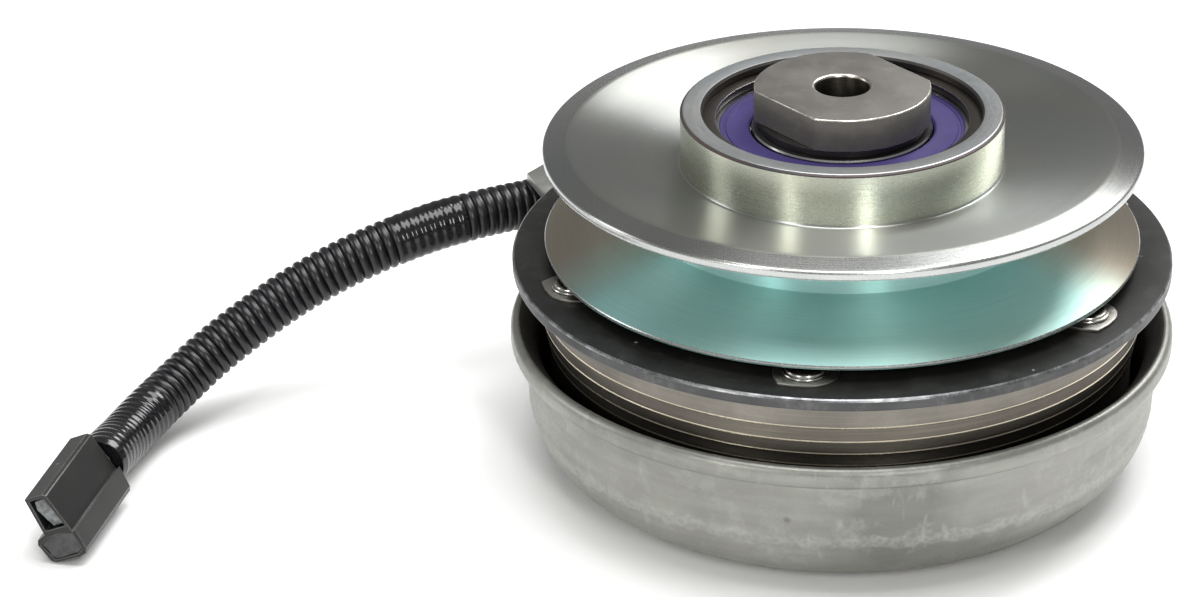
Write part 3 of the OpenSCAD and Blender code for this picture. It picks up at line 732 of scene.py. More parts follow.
@dataclass
class Studio:
    """Camera, lights and floor. Places are in metres and turns in degrees."""

    camera_place: Vector = field(default_factory=lambda: Vector((0.0, -0.8288, 0.4574)))
    heading: float = 4.384
    pitch: float = 26.547
    roll: float = 1.262
    lens: float = 105.0
    sensor: float = 36.0
    glow: float = 0.28
    floor_size: float = 8.0
    floor_drop: float = 0.0002

    def place_camera(self) -> None:
        """Add the camera that looks down on the clutch from the front."""
        data = bpy.data.cameras.new("view")
        data.lens = self.lens
        data.sensor_width = self.sensor
        data.clip_start = 0.01
        camera = bpy.data.objects.new("view", data)
        bpy.context.scene.collection.objects.link(camera)
        turn = (
            Matrix.Rotation(math.radians(self.heading), 4, "Z")
            @ Matrix.Rotation(math.radians(90 - self.pitch), 4, "X")
            @ Matrix.Rotation(math.radians(-self.roll), 4, "Z")
        )
        camera.matrix_world = Matrix.Translation(self.camera_place) @ turn
        bpy.context.scene.camera = camera

    def softbox(
        self, name: str, place: tuple, aim: tuple, size: Point2, power: float, tint: Colour = (1.0, 1.0, 1.0)
    ) -> None:
        """Add one rectangular light that faces a point.

        Args:
            name: the light's name.
            place: where it stands.
            aim: the point it faces.
            size: its width and height.
            power: its power, in watts.
            tint: its colour.
        """
        data = bpy.data.lights.new(name, "AREA")
        data.shape = "RECTANGLE"
        data.size, data.size_y = size
        data.energy = power
        data.color = tint
        lamp = bpy.data.objects.new(name, data)
        bpy.context.scene.collection.objects.link(lamp)
        away = Vector(aim) - Vector(place)
        lamp.matrix_world = Matrix.Translation(place) @ away.to_track_quat("-Z", "Y").to_matrix().to_4x4()

    def light(self) -> None:
        """Add the soft lights and the pale surroundings."""
        self.softbox("rear_right", (0.72, 0.98, 1.36), (0, 0, 0.08), (0.9, 0.9), 23.0)
        self.softbox("front_strip", (0.46, -1.42, 0.90), (0, 0, 0.06), (0.16, 0.7), 9.0, (1.0, 0.99, 0.96))
        self.softbox("front_left", (-0.95, -1.32, 0.80), (0, 0, 0.06), (0.20, 0.7), 7.0, (1.0, 0.99, 0.95))
        self.softbox("left", (-1.7, 0.1, 0.7), (0, 0, 0.06), (0.5, 0.9), 6.0)
        self.softbox("overhead", (0.0, -0.1, 2.2), (0, 0, 0), (1.4, 1.4), 42.0)
        world = bpy.data.worlds.new("surroundings")
        world.use_nodes = True
        glow = world.node_tree.nodes["Background"]
        glow.inputs["Color"].default_value = (0.97, 0.97, 0.96, 1.0)
        glow.inputs["Strength"].default_value = self.glow
        bpy.context.scene.world = world
        bpy.context.scene.view_settings.view_transform = "Standard"

    def lay_floor(self) -> None:
        """Add the pale floor."""
        deselect()
        bpy.ops.mesh.primitive_plane_add(size=self.floor_size, location=(0, 0, -self.floor_drop))
        floor = bpy.context.object
        floor.name = "floor"
        material = bpy.data.materials.new("pale_floor")
        material.use_nodes = True
        sheet = Sheet(material.node_tree)
        shader = material.node_tree.nodes["Principled BSDF"]
        place = sheet.add("ShaderNodeTexCoord").outputs["Object"]
        cloud = sheet.noise(place, 3.0, 2.0)
        colour = sheet.mix_colour(cloud, (0.86, 0.86, 0.86), (0.90, 0.90, 0.90))
        sheet.feed(shader.inputs["Base Color"], colour)
        shader.inputs["Roughness"].default_value = 0.7
        floor.data.materials.append(material)
        settle(floor)


@dataclass
class Lead:
    """The ribbed loom, its tape, its boot and the two-way connector.

    Lengths are in millimetres, turns in degrees, and the route and the plug's place in metres.
    """

    loom_r: float = 7.0
    slim: float = 0.965
    growth: float = 0.05
    growth_len: float = 160.0
    rib_pitch: float = 2.7
    rib_depth: float = 1.35
    rib_shift: float = 0.02
    seam_turn: float = 156.0
    seam_height: float = 0.08
    sides: int = 48
    line_step: float = 0.225
    tape_near_clutch: Point2 = (30.0, 50.0)
    tape_near_plug: Point2 = (132.0, 170.4)
    tape_sink: float = 0.12
    closes_at: float = 166.6
    closing_len: float = 4.6
    route: tuple = (
        (-0.0784, 0.0596, 0.0441), (-0.0834, 0.057, 0.0441), (-0.0886, 0.0542, 0.0441),
        (-0.0954, 0.0505, 0.0441), (-0.1024, 0.0469, 0.0438), (-0.1133, 0.042, 0.0424),
        (-0.1259, 0.0363, 0.0395), (-0.1383, 0.0309, 0.0353), (-0.1502, 0.0254, 0.03),
        (-0.1611, 0.019, 0.0242), (-0.1715, 0.0123, 0.0178), (-0.1801, 0.0044, 0.012),
        (-0.1868, -0.0065, 0.0086), (-0.1906, -0.019, 0.008), (-0.1923, -0.03, 0.0096),
        (-0.1932, -0.0382, 0.0106),
    )
    plug_front: tuple = (-0.2014, -0.0706, 0.0089)
    plug_heading: float = 81.0
    plug_roll: float = -24.0
    voxel: float = 0.22
    lump_reach: float = 2.5

    def centre_line(self, step: float) -> list[Vector]:
        """Points along the route at an even step.

        Args:
            step: the distance between points, in metres.

        Returns:
            Points on one smooth curve through the route's points.
        """
        spots = [Vector(p) for p in self.route]
        ends = [2 * spots[0] - spots[1], *spots, 2 * spots[-1] - spots[-2]]
        fine = []
        for i in range(1, len(ends) - 2):
            before, here, there, after = ends[i - 1 : i + 3]
            for k in range(24):
                t = k / 24
                bend = 2 * before - 5 * here + 4 * there - after
                twist = 3 * here - before - 3 * there + after
                fine.append(0.5 * (2 * here + (there - before) * t + bend * t * t + twist * t ** 3))
        fine.append(ends[-2])
        line, left = [fine[0]], step
        for here, there in zip(fine, fine[1:]):
            gap = (there - here).length
            while gap >= left:
                here = here + (there - here) * (left / gap)
                gap -= left
                left = step
                line.append(here.copy())
            left -= gap
        return line

    def sweep(self, name: str, line: list[Vector], radius_at: Callable[[float, float], float]) -> Piece:
        """Sweep a round section along a line and close both ends.

        Args:
            name: the object's name.
            line: the centre line.
            radius_at: radius in metres from the place along the line and the angle round it.

        Returns:
            The tube.
        """
        mesh = bpy.data.meshes.new(name)
        piece = bpy.data.objects.new(name, mesh)
        bpy.context.scene.collection.objects.link(piece)
        work = bmesh.new()
        rings, run = [], 0.0
        up = Vector((0, 0, 1))
        turns = [2 * math.pi * k / self.sides for k in range(self.sides)]
        for i, spot in enumerate(line):
            ahead = (line[min(i + 1, len(line) - 1)] - line[max(i - 1, 0)]).normalized()
            side = ahead.cross(up).normalized()
            lift = side.cross(ahead)
            run += (spot - line[i - 1]).length if i else 0.0
            rings.append([
                work.verts.new(spot + radius_at(run, turn) * (math.cos(turn) * side + math.sin(turn) * lift))
                for turn in turns
            ])
        for first, second in zip(rings, rings[1:]):
            for k in range(self.sides):
                work.faces.new((first[k], first[k - 1], second[k - 1], second[k]))
        work.faces.new(rings[0])
        work.faces.new(reversed(rings[-1]))
        bmesh.ops.recalc_face_normals(work, faces=work.faces)
        work.to_mesh(mesh)
        work.free()
        return smooth(piece, 50)

    def girth(self, run: float) -> float:
        """Radius at a rib's crest in millimetres: it grows along the loom, and closes at the connector."""
        closing = max(run / MM - self.closes_at, 0.0) / self.closing_len
        share = self.slim + self.growth * min(run / (self.growth_len * MM), 1.0)
        return self.loom_r * share * math.sqrt(max(1 - closing * closing, 0.1))

    def rib(self, run: float, angle: float) -> float:
        """Radius of the ribbed sheath: round crests, narrow grooves and a faint seam along the side."""
        across = 2 * ((run / (self.rib_pitch * MM) + self.rib_shift) % 1.0) - 1
        crest = math.sqrt(1 - 0.96 * abs(across) ** 2.5)
        seam = self.seam_height * math.exp(-(((angle - math.radians(self.seam_turn)) / 0.09) ** 2))
        return (self.girth(run) - self.rib_depth * (1 - crest) + seam * crest) * MM

    def tape(self, start: float, run: float, angle: float) -> float:
        """Radius of a wrap of tape, drawn tight over the ribs and dipping between them.

        Args:
            start: where the wrap starts along the loom, in metres.
            run: the place along the wrap, in metres.
            angle: the angle round it, in radians.

        Returns:
            The radius, in metres.
        """
        place = (run + start) / (self.rib_pitch * MM)
        sag = 0.5 - 0.5 * math.cos(2 * math.pi * place)
        crease = 0.05 * noise.noise(Vector((run * 300, math.cos(angle) * 2.4, math.sin(angle) * 2.4)))
        return (self.girth(run + start) - self.tape_sink + 0.2 * sag + crease) * MM

    def build_wrap(self, name: str, line: list[Vector], span: Point2) -> Piece:
        """Wrap tape over one stretch of the loom.

        Args:
            name: the piece's name.
            line: the loom's centre line.
            span: where the tape starts and ends along it, in millimetres.

        Returns:
            The wrap.
        """
        first, last = (round(place / self.line_step) for place in span)
        wrap = self.sweep(name, line[first:last], partial(self.tape, first * self.line_step * MM))
        return finish_piece(dress(wrap, "vinyl_tape"), Body.FIELD, "vinyl_tape")

    def connector_frame(self) -> Matrix:
        """The connector's own frame: X across, Y up, Z from the mating end to the loom."""
        return (
            Matrix.Translation(self.plug_front)
            @ Matrix.Rotation(math.radians(self.plug_heading), 4, "Z")
            @ Matrix.Rotation(math.radians(90), 4, "X")
            @ Matrix.Rotation(math.radians(90), 4, "Y")
            @ Matrix.Rotation(math.radians(self.plug_roll), 4, "Z")
        )

    def build_connector(self) -> list[Piece]:
        """Make the connector's shell, blades and filling from their CAD shapes."""
        made = []
        for node, width, finish, edge in (
            ("connector_housing", 0.45, "connector_plastic", "plastic_edge_highlight"),
            ("connector_end_seal", 0.3, "black_rubber", "black_rubber"),
        ):
            # The rounded edges go to slot 1; on the shell that finish is a painted highlight.
            piece = dress(refined(node, 0.0), finish, edge)
            soften(piece, width * MM, 4, 20, edge_slot=1)
            made.append(finish_piece(smooth(piece), Body.FIELD, finish, node))
        for node, finish, lump in (
            ("connector_potting", "potting_resin", 0.34),
            ("connector_blades", "tinned_blade", 0.26),
        ):
            piece = dress(self.lumpy(node, lump), finish)
            made.append(finish_piece(piece, Body.FIELD, finish, node))
        return made

    def lumpy(self, node: str, lump: float) -> Piece:
        """Copy a CAD node as a fine mesh whose mating end is uneven.

        Args:
            node: the CAD node.
            lump: how far its end goes in and out, in millimetres.

        Returns:
            The new object.
        """
        piece = refined(node, 0.0)
        modify(piece, "REMESH", mode="VOXEL", voxel_size=self.voxel * MM)
        to_local = self.connector_frame().inverted()
        away = self.connector_frame().to_3x3() @ Vector((0, 0, -1))
        for vertex in piece.data.vertices:
            depth = (to_local @ vertex.co).z / MM
            if depth < self.lump_reach:
                swell = noise.noise(vertex.co * 420) + 0.5 * noise.noise(vertex.co * 1100)
                vertex.co += away * (lump * swell * (1 - depth / self.lump_reach)) * MM
        return smooth(piece, 60)

    def build(self) -> None:
        line = self.centre_line(self.line_step * MM)
        sheath = dress(self.sweep("loom_sheath", line, self.rib), "loom_plastic")
        finish_piece(sheath, Body.FIELD, "loom_plastic", "cable_loom")
        wraps = [
            self.build_wrap("tape_near_clutch", line, self.tape_near_clutch),
            self.build_wrap("tape_near_connector", line, self.tape_near_plug),
        ]
        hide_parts("tape_wraps")
        plug = self.build_connector()
        boot = dress(refined("loom_boot", 0.3 * MM), "black_rubber")
        finish_piece(boot, Body.FIELD, "black_rubber", "loom_boot")
        dress_nodes(Body.FIELD, ("lead_wires", 0.0, "wire_cover"))


@dataclass
class Housing:
    """The drawn field housing and what is fixed to it. Lengths are in millimetres."""

    corner: float = 20.0
    wall: float = 3.7
    taper: float = 1.0
    lip_height: float = 5.6
    lip_out: float = 3.3
    lip_face: float = 2.6
    skin: float = 3.0
    wall_inset: float = 6.6
    wall_low: float = 12.0
    rough_width: float = 26.0
    rough_low: float = 2.0
    belt_height: float = 17.2
    belt_width: float = 2.0
    steps: int = 384

    def build_bowl(self) -> Piece:
        """Spin the bowl, then press its lip and the belt round its foot uneven."""
        whole = Extent("field_housing")
        core = Extent("field_core").r
        wall_r = whole.r - self.lip_out
        floor_r = wall_r - self.taper - self.corner
        low = whole.top - self.lip_height
        inner = self.corner - self.wall
        lip = whole.r
        top = whole.top
        up_wall = [
            (floor_r + self.corner + self.taper * t, self.corner + (low - 0.8 - self.corner) * t)
            for t in (i / 14 for i in range(1, 15))
        ]
        rolled_lip = [
            (wall_r + 0.05, low - 0.35), (wall_r + 0.35, low - 0.1), (lip - 1.0, low + 0.1),
            (lip - 0.3, low + 0.5), (lip, low + 1.2), (lip, low + 2.5), (lip, top - 1.8),
            (lip - 0.25, top - 1.0), (lip - 0.9, top - 0.3), (lip - 1.7, top), (lip - 2.3, top - 0.1),
            (lip - 3.4, top - 1.3), (lip - 4.6, top - 2.8), (wall_r - self.wall + 0.2, low),
        ]
        profile = [
            (core, 0.0), *arc((floor_r, self.corner), self.corner, -90, 0, 26), *up_wall, *rolled_lip,
            *arc((floor_r, self.corner), inner, 0, -90, 14), (core, self.wall),
        ]
        bowl = turned("housing_bowl", profile, self.steps)
        self.roughen(bowl, low, lip)
        dress(bowl, "cast_zinc_plate", "housing_inside_shade")
        # Painted shade on the inner wall, the floor and the inner face of the lip.
        paint(bowl, 1, partial(self.is_inside, lip, low))
        smooth(bowl, 40)
        return finish_piece(bowl, Body.FIELD, "cast_zinc_plate", "field_housing")

    def is_inside(self, lip: float, low: float, radius: float, height: float, normal: Vector) -> bool:
        """Whether a face belongs to the inside of the bowl, which is painted dark as shade.

        Args:
            lip: radius of the lip, in millimetres.
            low: height of the lip's underside, in millimetres.
            radius: the face's radius, in metres.
            height: the face's height, in metres.
            normal: the face's outward normal.

        Returns:
            True for the inner wall and the floor.
        """
        if radius >= (lip - self.lip_face) * MM or height <= self.skin * MM:
            return False
        on_wall = radius < (lip - self.wall_inset) * MM and height > self.wall_low * MM
        return height > low * MM or normal.z > 0.3 or on_wall

    def roughen(self, bowl: Piece, low: float, lip: float) -> None:
        """Press the outer skin in by hundredths of a millimetre, never out past its true size.

        Args:
            bowl: the housing.
            low: height of the lip's underside, in millimetres.
            lip: radius of the lip, in millimetres.
        """
        for vertex in bowl.data.vertices:
            spot = vertex.co / MM
            radius = math.hypot(spot.x, spot.y)
            if radius < lip - self.rough_width or spot.z < self.rough_low:
                continue
            out = Vector((spot.x, spot.y, 0)) / radius
            band = math.exp(-(((spot.z - self.belt_height) / self.belt_width) ** 2))
            crinkle = noise.noise(Vector((spot.x * 0.8, spot.y * 0.8, spot.z * 0.35))) * 0.20 * band
            wave = noise.noise(spot * 0.06) * 0.10
            on_lip = spot.z > low - 0.6 and radius > lip - 2.4
            nick = noise.noise(spot * 0.9) * (0.09 if on_lip else 0.015)
            vertex.co += out * min(crinkle + wave * 0.5 + nick - 0.1, 0.0) * MM

    def build(self) -> None:
        """Make the bowl and dress the parts that show around it."""
        self.build_bowl()
        dress_nodes(
            Body.FIELD,
            ("lead_bracket", 0.35, "bracket_zinc"),
            ("bracket_rivets", 0.2, "rivet_steel"),
            ("wall_grommet", 0.25, "black_rubber"),
            ("field_core", 0.2, "turned_steel"),
            ("coil_bobbin", 0.2, "black_moulding"),
            ("core_snap_ring", 0.15, "black_spring_steel"),
            ("field_outer_race", 0.0, "bearing_steel"),
            ("field_seal_lower", 0.12, "seal_rubber"),
        )


@dataclass
class Rotor:
    """The stepped rotor and the pieces on the drive sleeve. Lengths are in millimetres."""

    steps_z: tuple = (47.1, 42.9, 39.3, 35.7)
    steps_r: tuple = (79.4, 78.7, 78.0, 77.3, 76.6)
    sleeve_r: float = 17.5
    web_low: float = 47.0
    collar: tuple = (24.0, 29.4)
    collar_low: float = 24.0
    rim_inner: float = 73.0
    band_r: float = 78.0
    boss_r: float = 22.7
    bolt_r: float = 7.0
    bolt_chamfer: float = 0.5
    flat_half: float = 19.5
    flat_turn: float = 41.0

    def build_rotor(self) -> Piece:
        """Spin the rotor, with a highlight painted on a narrow corner of each step and its lower steps kept
        darker as painted shade.
        """
        size = Extent("rotor")
        r = self.steps_r
        z = self.steps_z
        inner, outer = self.collar
        profile = [
            (self.sleeve_r, self.web_low), (inner, self.web_low), (inner, self.collar_low),
            (outer, self.collar_low), (outer, self.web_low), (self.rim_inner, self.web_low),
            (self.rim_inner, size.low), (r[-1], size.low),
        ]
        for narrow, wide, level in zip(r[:0:-1], r[-2::-1], z[::-1]):
            profile += [
                (narrow, level - 0.45), (wide + 0.05, level - 0.12), (wide + 0.12, level + 0.04),
                (wide, level + 0.34),
            ]
        profile += [(size.r, size.top - 1.2), (size.r - 1.0, size.top), (self.sleeve_r, size.top)]
        piece = turned("rotor_body", profile, 256)
        dress(piece, "turned_steel", "step_edge_highlight", "rotor_band_lit")
        # The top band takes the lighter finish and the steps below keep the darker one: painted shade under
        # the armature and inside the bowl.
        paint(piece, 2, lambda radius, height, n: height > (z[0] + 0.2) * MM and radius > self.band_r * MM)
        # Painted highlight on the corner of each step.
        for level, wide in zip(z, r):
            paint(piece, 1, partial(self.on_corner, level, wide))
        smooth(piece, 24)
        return finish_piece(piece, Body.ROTOR, "turned_steel", "rotor")

    @staticmethod
    def on_corner(level: float, wide: float, radius: float, height: float, normal: Vector) -> bool:
        """Whether a face is on the corner of the step at this level, where a highlight is painted."""
        return -0.1 < height / MM - level < 0.3 and radius > (wide - 0.05) * MM

    def build_boss(self) -> Piece:
        """Cut the double-D boss from a round bar and drill it."""
        size = Extent("wrench_boss")
        deselect()
        bpy.ops.mesh.primitive_cylinder_add(
            vertices=192, radius=self.boss_r * MM, depth=(size.top - size.low) * MM,
            location=(0, 0, (size.top + size.low) / 2 * MM),
        )
        boss = bpy.context.object
        boss.name = "double_d_boss"
        settle(boss)
        for turn in (self.flat_turn, self.flat_turn + 180):
            normal = Vector((math.cos(math.radians(turn)), math.sin(math.radians(turn)), 0))
            bpy.ops.object.mode_set(mode="EDIT")
            bpy.ops.mesh.select_all(action="SELECT")
            bpy.ops.mesh.bisect(
                plane_co=normal * self.flat_half * MM, plane_no=normal, use_fill=True, clear_outer=True
            )
            bpy.ops.object.mode_set(mode="OBJECT")
        mouth_r = self.bolt_r + self.bolt_chamfer
        drill = turned("drill", [
            (0, size.low - 1), (self.bolt_r, size.low - 1), (self.bolt_r, size.top - self.bolt_chamfer),
            (mouth_r, size.top), (mouth_r, size.top + 1), (0, size.top + 1),
        ], 96)
        cut(boss, drill)
        dress(boss, "sintered_steel", "boss_edge_wear_and_highlight", "turned_steel")
        # The rounded edges take slot 1: worn bare metal and a painted highlight.
        soften(boss, 0.4 * MM, 3, 40, edge_slot=1)
        paint(boss, 2, lambda r, z, n: r < (self.bolt_r + 0.03) * MM and abs(n.z) < 0.3)
        smooth(boss, 35)
        return finish_piece(boss, Body.ROTOR, "sintered_steel", "wrench_boss")

    def build(self) -> None:
        """Make the rotor, the boss and the small parts of the sleeve."""
        self.build_rotor()
        self.build_boss()
        dress_nodes(
            Body.ROTOR,
            ("drive_sleeve", 0.25, "dark_steel"),
            ("top_spacer", 0.2, "dark_steel"),
            ("sleeve_snap_ring", 0.15, "black_spring_steel"),
            ("field_inner_race", 0.0, "bearing_steel"),
        )


@dataclass
class Pulley:
    """Hub, both flanges and the sealed bearing in the hub. Lengths are in millimetres."""

    crease_r: float = 71.4
    bearing_r: float = 36.0
    seal_outer: float = 31.5
    seal_inner: float = 23.7
    sleeve_r: float = 17.5
    seat_bore: float = 33.0
    ring_groove: float = 37.6
    ring_bore: float = 32.7
    root_r: float = 54.0
    gap_angle: float = 80.0
    gap: float = 8.0

    def build_hub(self) -> Piece:
        """Spin the hub with its bearing seat and ring groove."""
        hub = Extent("pulley_hub")
        bearing = Extent("pulley_outer_race")
        r, top, seat = hub.r, hub.top, bearing.low
        race = bearing.top
        bore = self.bearing_r
        groove = self.ring_groove
        profile = [
            (self.seat_bore, hub.low), (r, hub.low), (r, 80), (r, top - 0.75), (r - 0.1, top - 0.45),
            (r - 0.65, top - 0.1), (r - 0.9, top), (37, top), (36.5, top - 0.1), (bore, top - 0.7),
            (bore, race + 2.2), (groove, race + 2.2), (groove, race), (bore, race), (bore, seat),
            (self.seat_bore, seat),
        ]
        piece = turned("pulley_hub_body", profile, 256)
        dress(piece, "hub_plate", "hub_face", "dark_edge", "hub_bore_shade")
        paint(piece, 1, lambda radius, z, n: n.z > 0.9 and z > (top - 1) * MM)
        paint(piece, 2, lambda radius, z, n: (
            0.2 < n.z < 0.9 and radius > (r - 0.75) * MM and z > (top - 1) * MM
        ))
        # Painted shade on the bore and the ring groove.
        paint(piece, 3, lambda radius, z, n: radius < (groove + 0.1) * MM and z < (top - 0.2) * MM)
        smooth(piece, 20)
        return finish_piece(piece, Body.PULLEY, "hub_plate", "pulley_hub")

    def build_upper_flange(self) -> Piece:
        """Spin the dished upper flange with its rolled rim and the collar round the hub."""
        rim = Extent("pulley_upper_flange")
        hub = Extent("pulley_hub").r
        r, top = rim.r, rim.top - 1.0
        low = top - 2.8
        root = rim.low
        crease = self.crease_r
        profile = [
            (hub, root), (self.root_r, root), (r - 1.2, low),
            *arc((r - 1.0, low + 0.95), 0.95, -78, 0, 4),
            *arc((r - 0.9, top - 0.9), 0.9, 0, 80, 5),
            (75.4, top + 0.22), (73.2, top + 0.62), (crease, top + 0.92), (crease - 0.5, top + 1.0),
            (crease - 1.2, top + 0.92), (66, top - 0.25), (58, top - 2.0), (50, top - 3.75),
            (42.9, top - 5.22),
            *arc((hub + 0.5, top - 4.86), 0.45, -80, -178, 5),
            (hub, top - 4.6),
        ]
        piece = turned("upper_flange_body", profile, 320)
        dress(piece, "flange_plate", "flange_band", "bare_edge_and_highlight", "groove_roof_painted_light")
        paint(piece, 1, lambda radius, z, n: radius > crease * MM and n.z > 0.8)
        # The rim's outer band: bare metal and a painted highlight.
        paint(piece, 2, lambda radius, z, n: radius > (r - 0.95) * MM and -0.5 < n.z < 0.5)
        # Down-facing faces of the flange take the pale roof finish: painted light on the groove's roof.
        paint(piece, 3, lambda radius, z, n: n.z < -0.5 and radius > self.root_r * MM)
        smooth(piece, 30)
        return finish_piece(piece, Body.PULLEY, "flange_plate", "pulley_upper_flange")

    def build_lower_flange(self) -> Piece:
        """Spin the brushed lower flange and the groove's root."""
        rim = Extent("pulley_lower_flange")
        root = Extent("groove_spacer")
        hub = Extent("pulley_hub").r
        edge = rim.low + 1.4
        profile = [
            (hub, rim.low), (rim.r - 0.9, rim.low), (rim.r - 0.2, rim.low + 0.3), (rim.r, rim.low + 0.8),
            (rim.r, edge - 0.25), (rim.r - 0.2, edge - 0.02), (rim.r - 1.0, edge + 0.27),
            (66, edge + 3.7), (root.r + 0.8, rim.top - 0.2), (root.r, rim.top + 0.3), (hub, rim.top + 0.3),
        ]
        piece = turned("lower_flange_body", profile, 320)
        dress(piece, "lower_flange_plate", "bare_edge_and_highlight", "dark_steel")
        # The rim's edge: bare metal and a painted highlight.
        paint(piece, 1, lambda radius, z, n: radius > (rim.r - 0.6) * MM and n.z > -0.2)
        # Painted shade: the flange's down-facing faces take the dark steel finish.
        paint(piece, 2, lambda radius, z, n: n.z < -0.6)
        smooth(piece, 20)
        finish_piece(piece, Body.PULLEY, "lower_flange_plate", "pulley_lower_flange")
        section = [(hub, root.low), (root.r, root.low), (root.r, root.top), (hub, root.top)]
        floor = turned("groove_root", section, 256)
        dress(floor, "lower_flange_plate")
        smooth(floor, 20)
        return finish_piece(floor, Body.PULLEY, "flange_plate", "groove_spacer")

    def build_bearing(self) -> None:
        """Spin the races and the violet seals, with their lips and grooves."""
        race = Extent("pulley_outer_race")
        top, low = race.top, race.low
        out, mid, inn = self.bearing_r, self.seal_outer, self.seal_inner
        outer = turned("outer_race_body", [
            (out - 0.6, top), (out, top - 0.6), (out, low + 0.6), (out - 0.6, low), (mid + 0.2, low),
            (mid, low + 0.6), (mid, low + 5), (mid, top - 5), (mid, top - 0.6), (mid + 0.2, top),
        ], 192)
        dress(outer, "bearing_steel")
        finish_piece(smooth(outer, 25), Body.PULLEY, "bearing_steel", "pulley_outer_race")
        bore, rim = self.sleeve_r, inn - 0.35
        inner = turned("inner_race_body", [
            (bore + 0.6, top), (bore, top - 0.6), (bore, low + 0.6), (bore + 0.6, low), (inn - 0.7, low),
            (rim, low + 0.4), (rim, low + 5), (rim, top - 5), (rim, top - 0.4), (inn - 0.7, top),
        ], 192)
        dress(inner, "bearing_steel", "race_face_painted_shade")
        # Painted shade on the inner race's flat faces and bore.
        paint(inner, 1, lambda r, z, n: abs(n.z) > 0.9 or r < (bore + 1.0) * MM)
        finish_piece(smooth(inner, 25), Body.ROTOR, "bearing_steel", "pulley_inner_race")
        self.build_seal("upper_seal_body", "pulley_seal_upper", top - 0.5, 1)
        self.build_seal("lower_seal_body", "pulley_seal_lower", low + 0.5, -1)

    def build_seal(self, name: str, node: str, face: float, way: int) -> Piece:
        """Spin one seal: an outer bead, a flat web, a step and an inner lip.

        Args:
            name: the piece's name.
            node: the CAD node it replaces.
            face: height of its outer face, in millimetres.
            way: 1 when the face looks up, -1 when it looks down.

        Returns:
            The seal.
        """
        out, inn = self.seal_outer, self.seal_inner
        heights = [
            (out, -0.55), (out, -0.15), (out - 0.25, 0.0), (out - 0.7, 0.0), (out - 0.95, -0.28),
            (out - 1.4, -0.28), (out - 1.65, 0.0), (inn + 1.6, 0.02), (inn + 1.2, 0.12), (inn + 0.55, 0.12),
            (inn + 0.2, -0.1), (inn, -0.45), (inn + 0.3, -0.9), (out, -0.9),
        ]
        piece = turned(name, [(r, face + way * h) for r, h in heights], 192)
        dress(piece, "seal_rubber", "seal_groove")
        paint(piece, 1, lambda r, z, n: (out - 1.5) * MM < r < (out - 0.8) * MM)
        smooth(piece, 30)
        return finish_piece(piece, Body.PULLEY, "seal_rubber", node)

    def build_snap_ring(self) -> Piece:
        """Spin the ring and cut its gap."""
        ring = Extent("hub_snap_ring")
        piece = turned("hub_ring_body", [
            (self.ring_bore, ring.low), (37.4, ring.low), (37.4, ring.top), (self.ring_bore, ring.top),
        ], 192)
        deselect()
        bpy.ops.mesh.primitive_cube_add(size=1, location=(36 * MM, 0, ring.top * MM))
        gap = bpy.context.object
        gap.scale = (14 * MM, self.gap * MM, 8 * MM)
        settle(gap)
        gap.data.transform(Matrix.Rotation(math.radians(self.gap_angle), 4, "Z"))
        cut(piece, gap)
        dress(piece, "black_spring_steel", "bare_edge_and_highlight")
        soften(piece, 0.22 * MM, 2, 40)
        # The ring's inner edge: bare metal and a painted highlight.
        paint(piece, 1, lambda r, z, n: r < (self.ring_bore + 0.25) * MM and n.z > 0.2)
        smooth(piece, 30)
        return finish_piece(piece, Body.PULLEY, "black_spring_steel", "hub_snap_ring")

    def build(self) -> None:
        """Make every part of the pulley."""
        self.build_hub()
        self.build_upper_flange()
        self.build_lower_flange()
        self.build_bearing()
        self.build_snap_ring()
        dress_nodes(Body.PULLEY, ("spring_rivets", 0.2, "rivet_steel"))


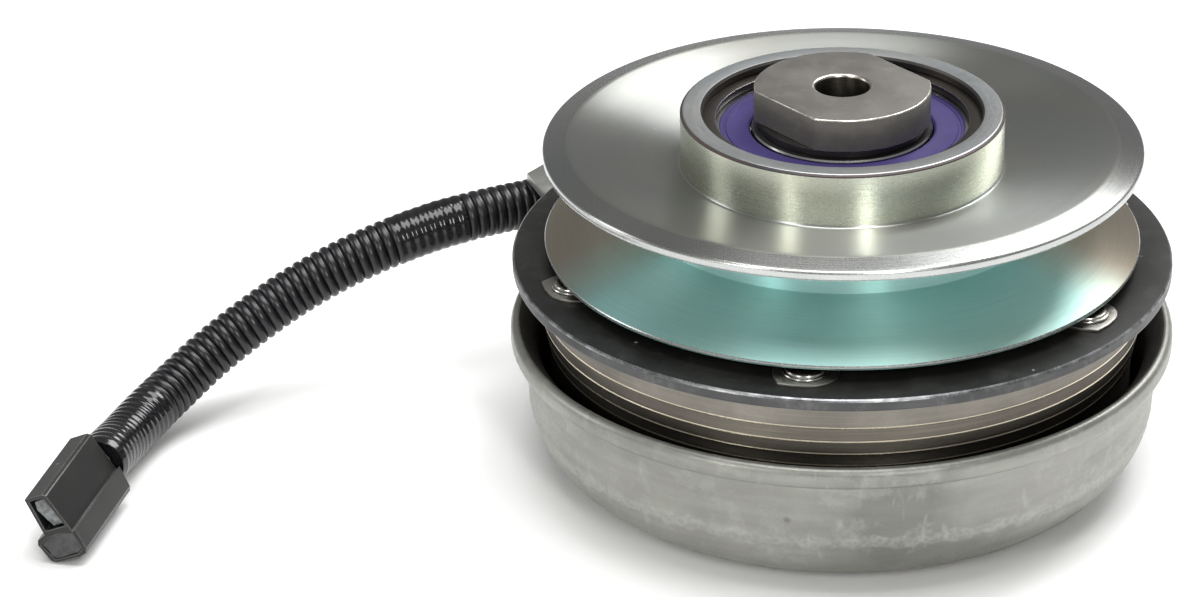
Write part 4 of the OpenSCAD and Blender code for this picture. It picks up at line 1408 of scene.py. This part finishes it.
@dataclass
class Armature:
    """The armature plate, its leaf springs and their two-step rivets. Lengths are in millimetres."""

    rivet_ring: float = 73.6
    angles: tuple = (-157.6, -96.4, -33.0, 22.4, 83.6, 147.0)
    bore: float = 46.0

    def build_plate(self) -> Piece:
        """Spin the plate, with a worn corner that carries a painted highlight, and a ground rim."""
        size = Extent("armature_plate")
        r, low, top = size.r, size.low, size.top
        profile = [
            (self.bore, low), (r - 0.6, low), (r - 0.15, low + 0.2), (r, low + 0.6), (r, top - 0.75),
            (r - 0.18, top - 0.35), (r - 0.55, top - 0.06), (r - 0.9, top), (r - 8, top), (self.bore, top),
        ]
        piece = turned("armature_disc", profile, 320)
        dress(piece, "phosphated_steel", "ground_rim", "worn_corner_and_highlight")
        paint(piece, 1, lambda radius, z, n: radius > (r - 0.7) * MM and n.z < 0.35)
        # The top chamfer: worn metal and a painted highlight.
        paint(piece, 2, lambda radius, z, n: radius > (r - 0.62) * MM and 0.35 <= n.z < 0.97)
        smooth(piece, 20)
        return finish_piece(piece, Body.ARMATURE, "phosphated_steel", "armature_plate")

    def build_rivets(self) -> None:
        """Spin one two-step rivet and copy it round the plate."""
        rivets = Extent("armature_rivets")
        seat = rivets.top - 1.4
        profile = [
            (0, rivets.low), (3.2, rivets.low), (3.2, seat), (5.2, seat), (5.62, seat + 0.12),
            (5.7, seat + 0.4), (5.55, seat + 0.62), (5.2, seat + 0.7), (5.0, seat + 0.74),
            (4.95, seat + 0.95), (4.8, seat + 1.22), (4.35, seat + 1.36), (3.4, seat + 1.34),
            (1.5, seat + 1.26), (0, seat + 1.24),
        ]
        first = turned("armature_rivet_1", profile, 64, closed=False)
        dress(first, "rivet_steel", "bare_edge_and_highlight")
        # The rivet head's chamfer: bare metal and a painted highlight.
        paint(first, 1, lambda r, z, n: 0.25 < n.z < 0.9 and r > 4.2 * MM)
        smooth(first, 34)
        base = first.data.copy()
        for i, angle in enumerate(self.angles):
            rivet = first
            if i:
                rivet = first.copy()
                rivet.data = base.copy()
                bpy.context.scene.collection.objects.link(rivet)
            rivet.name = f"armature_rivet_{i + 1}"
            turn = Matrix.Rotation(math.radians(angle), 4, "Z")
            rivet.data.transform(turn @ Matrix.Translation((self.rivet_ring * MM, 0, 0)))
            finish_piece(rivet, Body.ARMATURE, "rivet_steel", *([] if i else ["armature_rivets"]))

    def build(self) -> None:
        """Make the plate, the rivets and the springs."""
        self.build_plate()
        self.build_rivets()
        dress_nodes(Body.ARMATURE, ("leaf_springs", 0.14, "spring_steel"))


def dress_frame() -> None:
    """Give each CAD node its finish, so that none is left plain."""
    slots = {part["node"]: part["material_slot"] for part in frame["record"]["subparts"]}
    for name, node in frame["nodes"].items():
        dress(node, slots[name])


def main() -> None:
    """Build the scene."""
    logging.basicConfig(level=logging.INFO, format="%(name)s: %(message)s")
    studio = Studio()
    studio.place_camera()
    dress_frame()
    for part in (Lead(), Housing(), Rotor(), Armature(), Pulley()):
        LOG.info("building %s", type(part).__name__)
        part.build()
    studio.light()
    studio.lay_floor()


if __name__ == "__main__":
    main()
